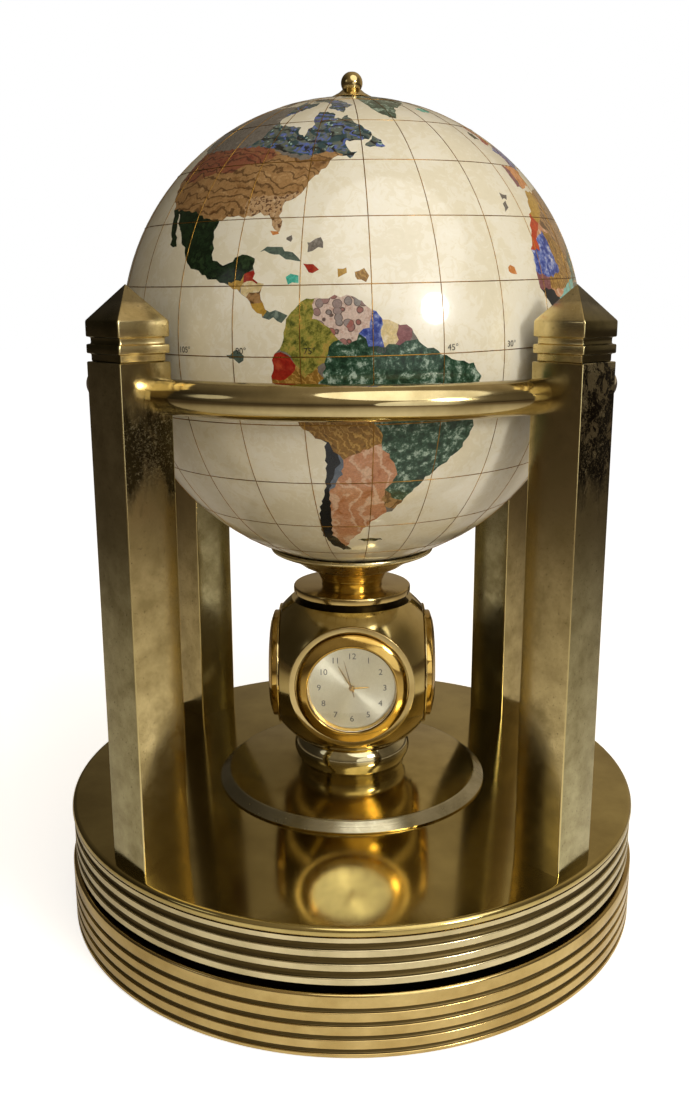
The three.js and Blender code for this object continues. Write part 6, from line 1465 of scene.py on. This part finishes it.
wire_tree.links.new(meridians.outputs[0], joined.inputs[0])
wire_tree.links.new(parallels.outputs[0], joined.inputs[0])
real = add_node(wire_tree, "GeometryNodeRealizeInstances", links={0: joined})
section = add_node(wire_tree, "GeometryNodeCurvePrimitiveCircle", {"Resolution": 6},
                   {"Radius": given.outputs["Wire Radius"]})
drawn = add_node(wire_tree, "GeometryNodeCurveToMesh", links={"Curve": real, "Profile Curve": section})
painted = add_node(wire_tree, "GeometryNodeSetMaterial", links={"Geometry": drawn,
                                                                "Material": given.outputs["Wire"]})
add_node(wire_tree, "NodeGroupOutput", links={0: painted})
wire_brass = brass("inlaid_brass_wire", "#b88c3c", "#5c3a18", 0.3, mottle=9.0, bump=0.0)


wire_turn = math.radians(-90 - FRONT_LONGITUDE)
wires = grown("globe_wires", wire_tree, {"Globe Radius": (GLOBE_RADIUS - 0.06) * MM,
                                         "Wire Radius": 0.15 * MM, "Meridians": 24, "Wire": wire_brass},
              Matrix.Translation((0, 0, GLOBE_HEIGHT * MM)) @ GLOBE_LEAN @ Matrix.Rotation(wire_turn, 4,
                                                                                           "Z"))
add_piece("globe_wires", wires, None, "globe", [])

# Degree numbers: small black figures printed above the equator beside each meridian.
verts, faces = [], []
for step in range(24):
    longitude = -180 + 15 * step
    points, polygons = lettered(f"{abs(longitude)}°", 2.4)
    start = len(verts)
    for x, y, _ in points:
        verts.append(on_globe(longitude + math.degrees((x + 2.6) / GLOBE_RADIUS),
                              math.degrees((y + 1.5) / GLOBE_RADIUS), GLOBE_RADIUS + 0.05))
    faces += [[start + i for i in polygon] for polygon in polygons]
add_piece("degree_numbers", finish_mesh("degree_numbers", verts, faces, 180), ink, "globe", [])

# Finial: a cone that keeps the globe down, a collar and a ball with a flat, turned in one.
# It is polished like the rings.
ball_height = 272.35 + 2.7 + math.sqrt(3.45 ** 2 - 2.9 ** 2)
finial = [(0, 272.35), (6.7, 272.35), (6.8, 272.45), (6.6, 272.6), (4.2, 273.9), (3.2, 274.75), (2.9,
                                                                                                 275.05)]
first, last = -math.acos(2.9 / 3.45), math.acos(1.3 / 3.45)
for step in range(1, 17):
    angle = first + (last - first) * step / 16
    finial.append((3.45 * math.cos(angle), ball_height + 3.45 * math.sin(angle)))
finial.append((0, finial[-1][1]))
add_piece("finial_turned", lathe("finial_turned", finial, 96), ring_brass, "turntable", ["finial"])

# Bearing and clamp: zinc plated steel races, caged balls, rivets, rod and nut, all out of sight, and
# the globe's brass bushes.
zinc, tree = new_material("zinc_plated_steel")
where = add_node(tree, "TexCoord")
spangle = add_node(tree, "TexVoronoi", {"Scale": 1 / (2.2 * MM)}, {"Vector": where.outputs["Object"]},
                   feature="F1")
tone = add_node(tree, "Mix", {6: linear("#a9acad"), 7: linear("#8d9092")}, {0: spangle.outputs["Distance"]},
                data_type="RGBA")
shader = add_node(tree, "BsdfPrincipled", {"Metallic": 1.0, "Roughness": 0.38},
                  {"Base Color": tone.outputs[2]})
add_node(tree, "OutputMaterial", links={0: shader})
repaint(zinc, "lower_race", "upper_race", "ball_cage", "centre_rivet", "axis_rod", "axis_nut",
        *[f"column_foot_{corner}" for corner, _ in CORNERS])
repaint(warm_brass, "globe_bush_north", "globe_bush_south")

# Underside: a fibreboard disc that closes the lower drum, with green felt glued over it.
fibre, tree = new_material("bare_fibreboard")
where = add_node(tree, "TexCoord")
chips = add_node(tree, "TexNoise", {"Scale": 1 / (1.2 * MM), "Detail": 6.0, "Roughness": 0.7},
                 {"Vector": where.outputs["Object"]})
tone = add_node(tree, "Mix", {6: linear("#8f6f48"), 7: linear("#6e5233")}, {0: chips.outputs["Fac"]},
                data_type="RGBA")
shader = add_node(tree, "BsdfPrincipled", {"Roughness": 0.8}, {"Base Color": tone.outputs[2]})
add_node(tree, "OutputMaterial", links={0: shader})
repaint(fibre, "base_board")
felt, tree = new_material("green_wool_felt")
where = add_node(tree, "TexCoord")
wool = add_node(tree, "TexNoise", {"Scale": 1 / (0.9 * MM), "Detail": 8.0, "Roughness": 0.75,
                                   "Distortion": 1.2}, {"Vector": where.outputs["Object"]})
tone = add_node(tree, "Mix", {6: linear("#1f3d29"), 7: linear("#36573d")}, {0: wool.outputs["Fac"]},
                data_type="RGBA")
relief = add_node(tree, "Bump", {"Strength": 0.6, "Distance": 0.3 * MM}, {"Height": wool.outputs["Fac"]})
shader = add_node(tree, "BsdfPrincipled", {"Roughness": 0.95, "Sheen Weight": 0.3, "Sheen Roughness": 0.4},
                  {"Base Color": tone.outputs[2], "Normal": relief})
add_node(tree, "OutputMaterial", links={0: shader})
repaint(felt, "base_pad")
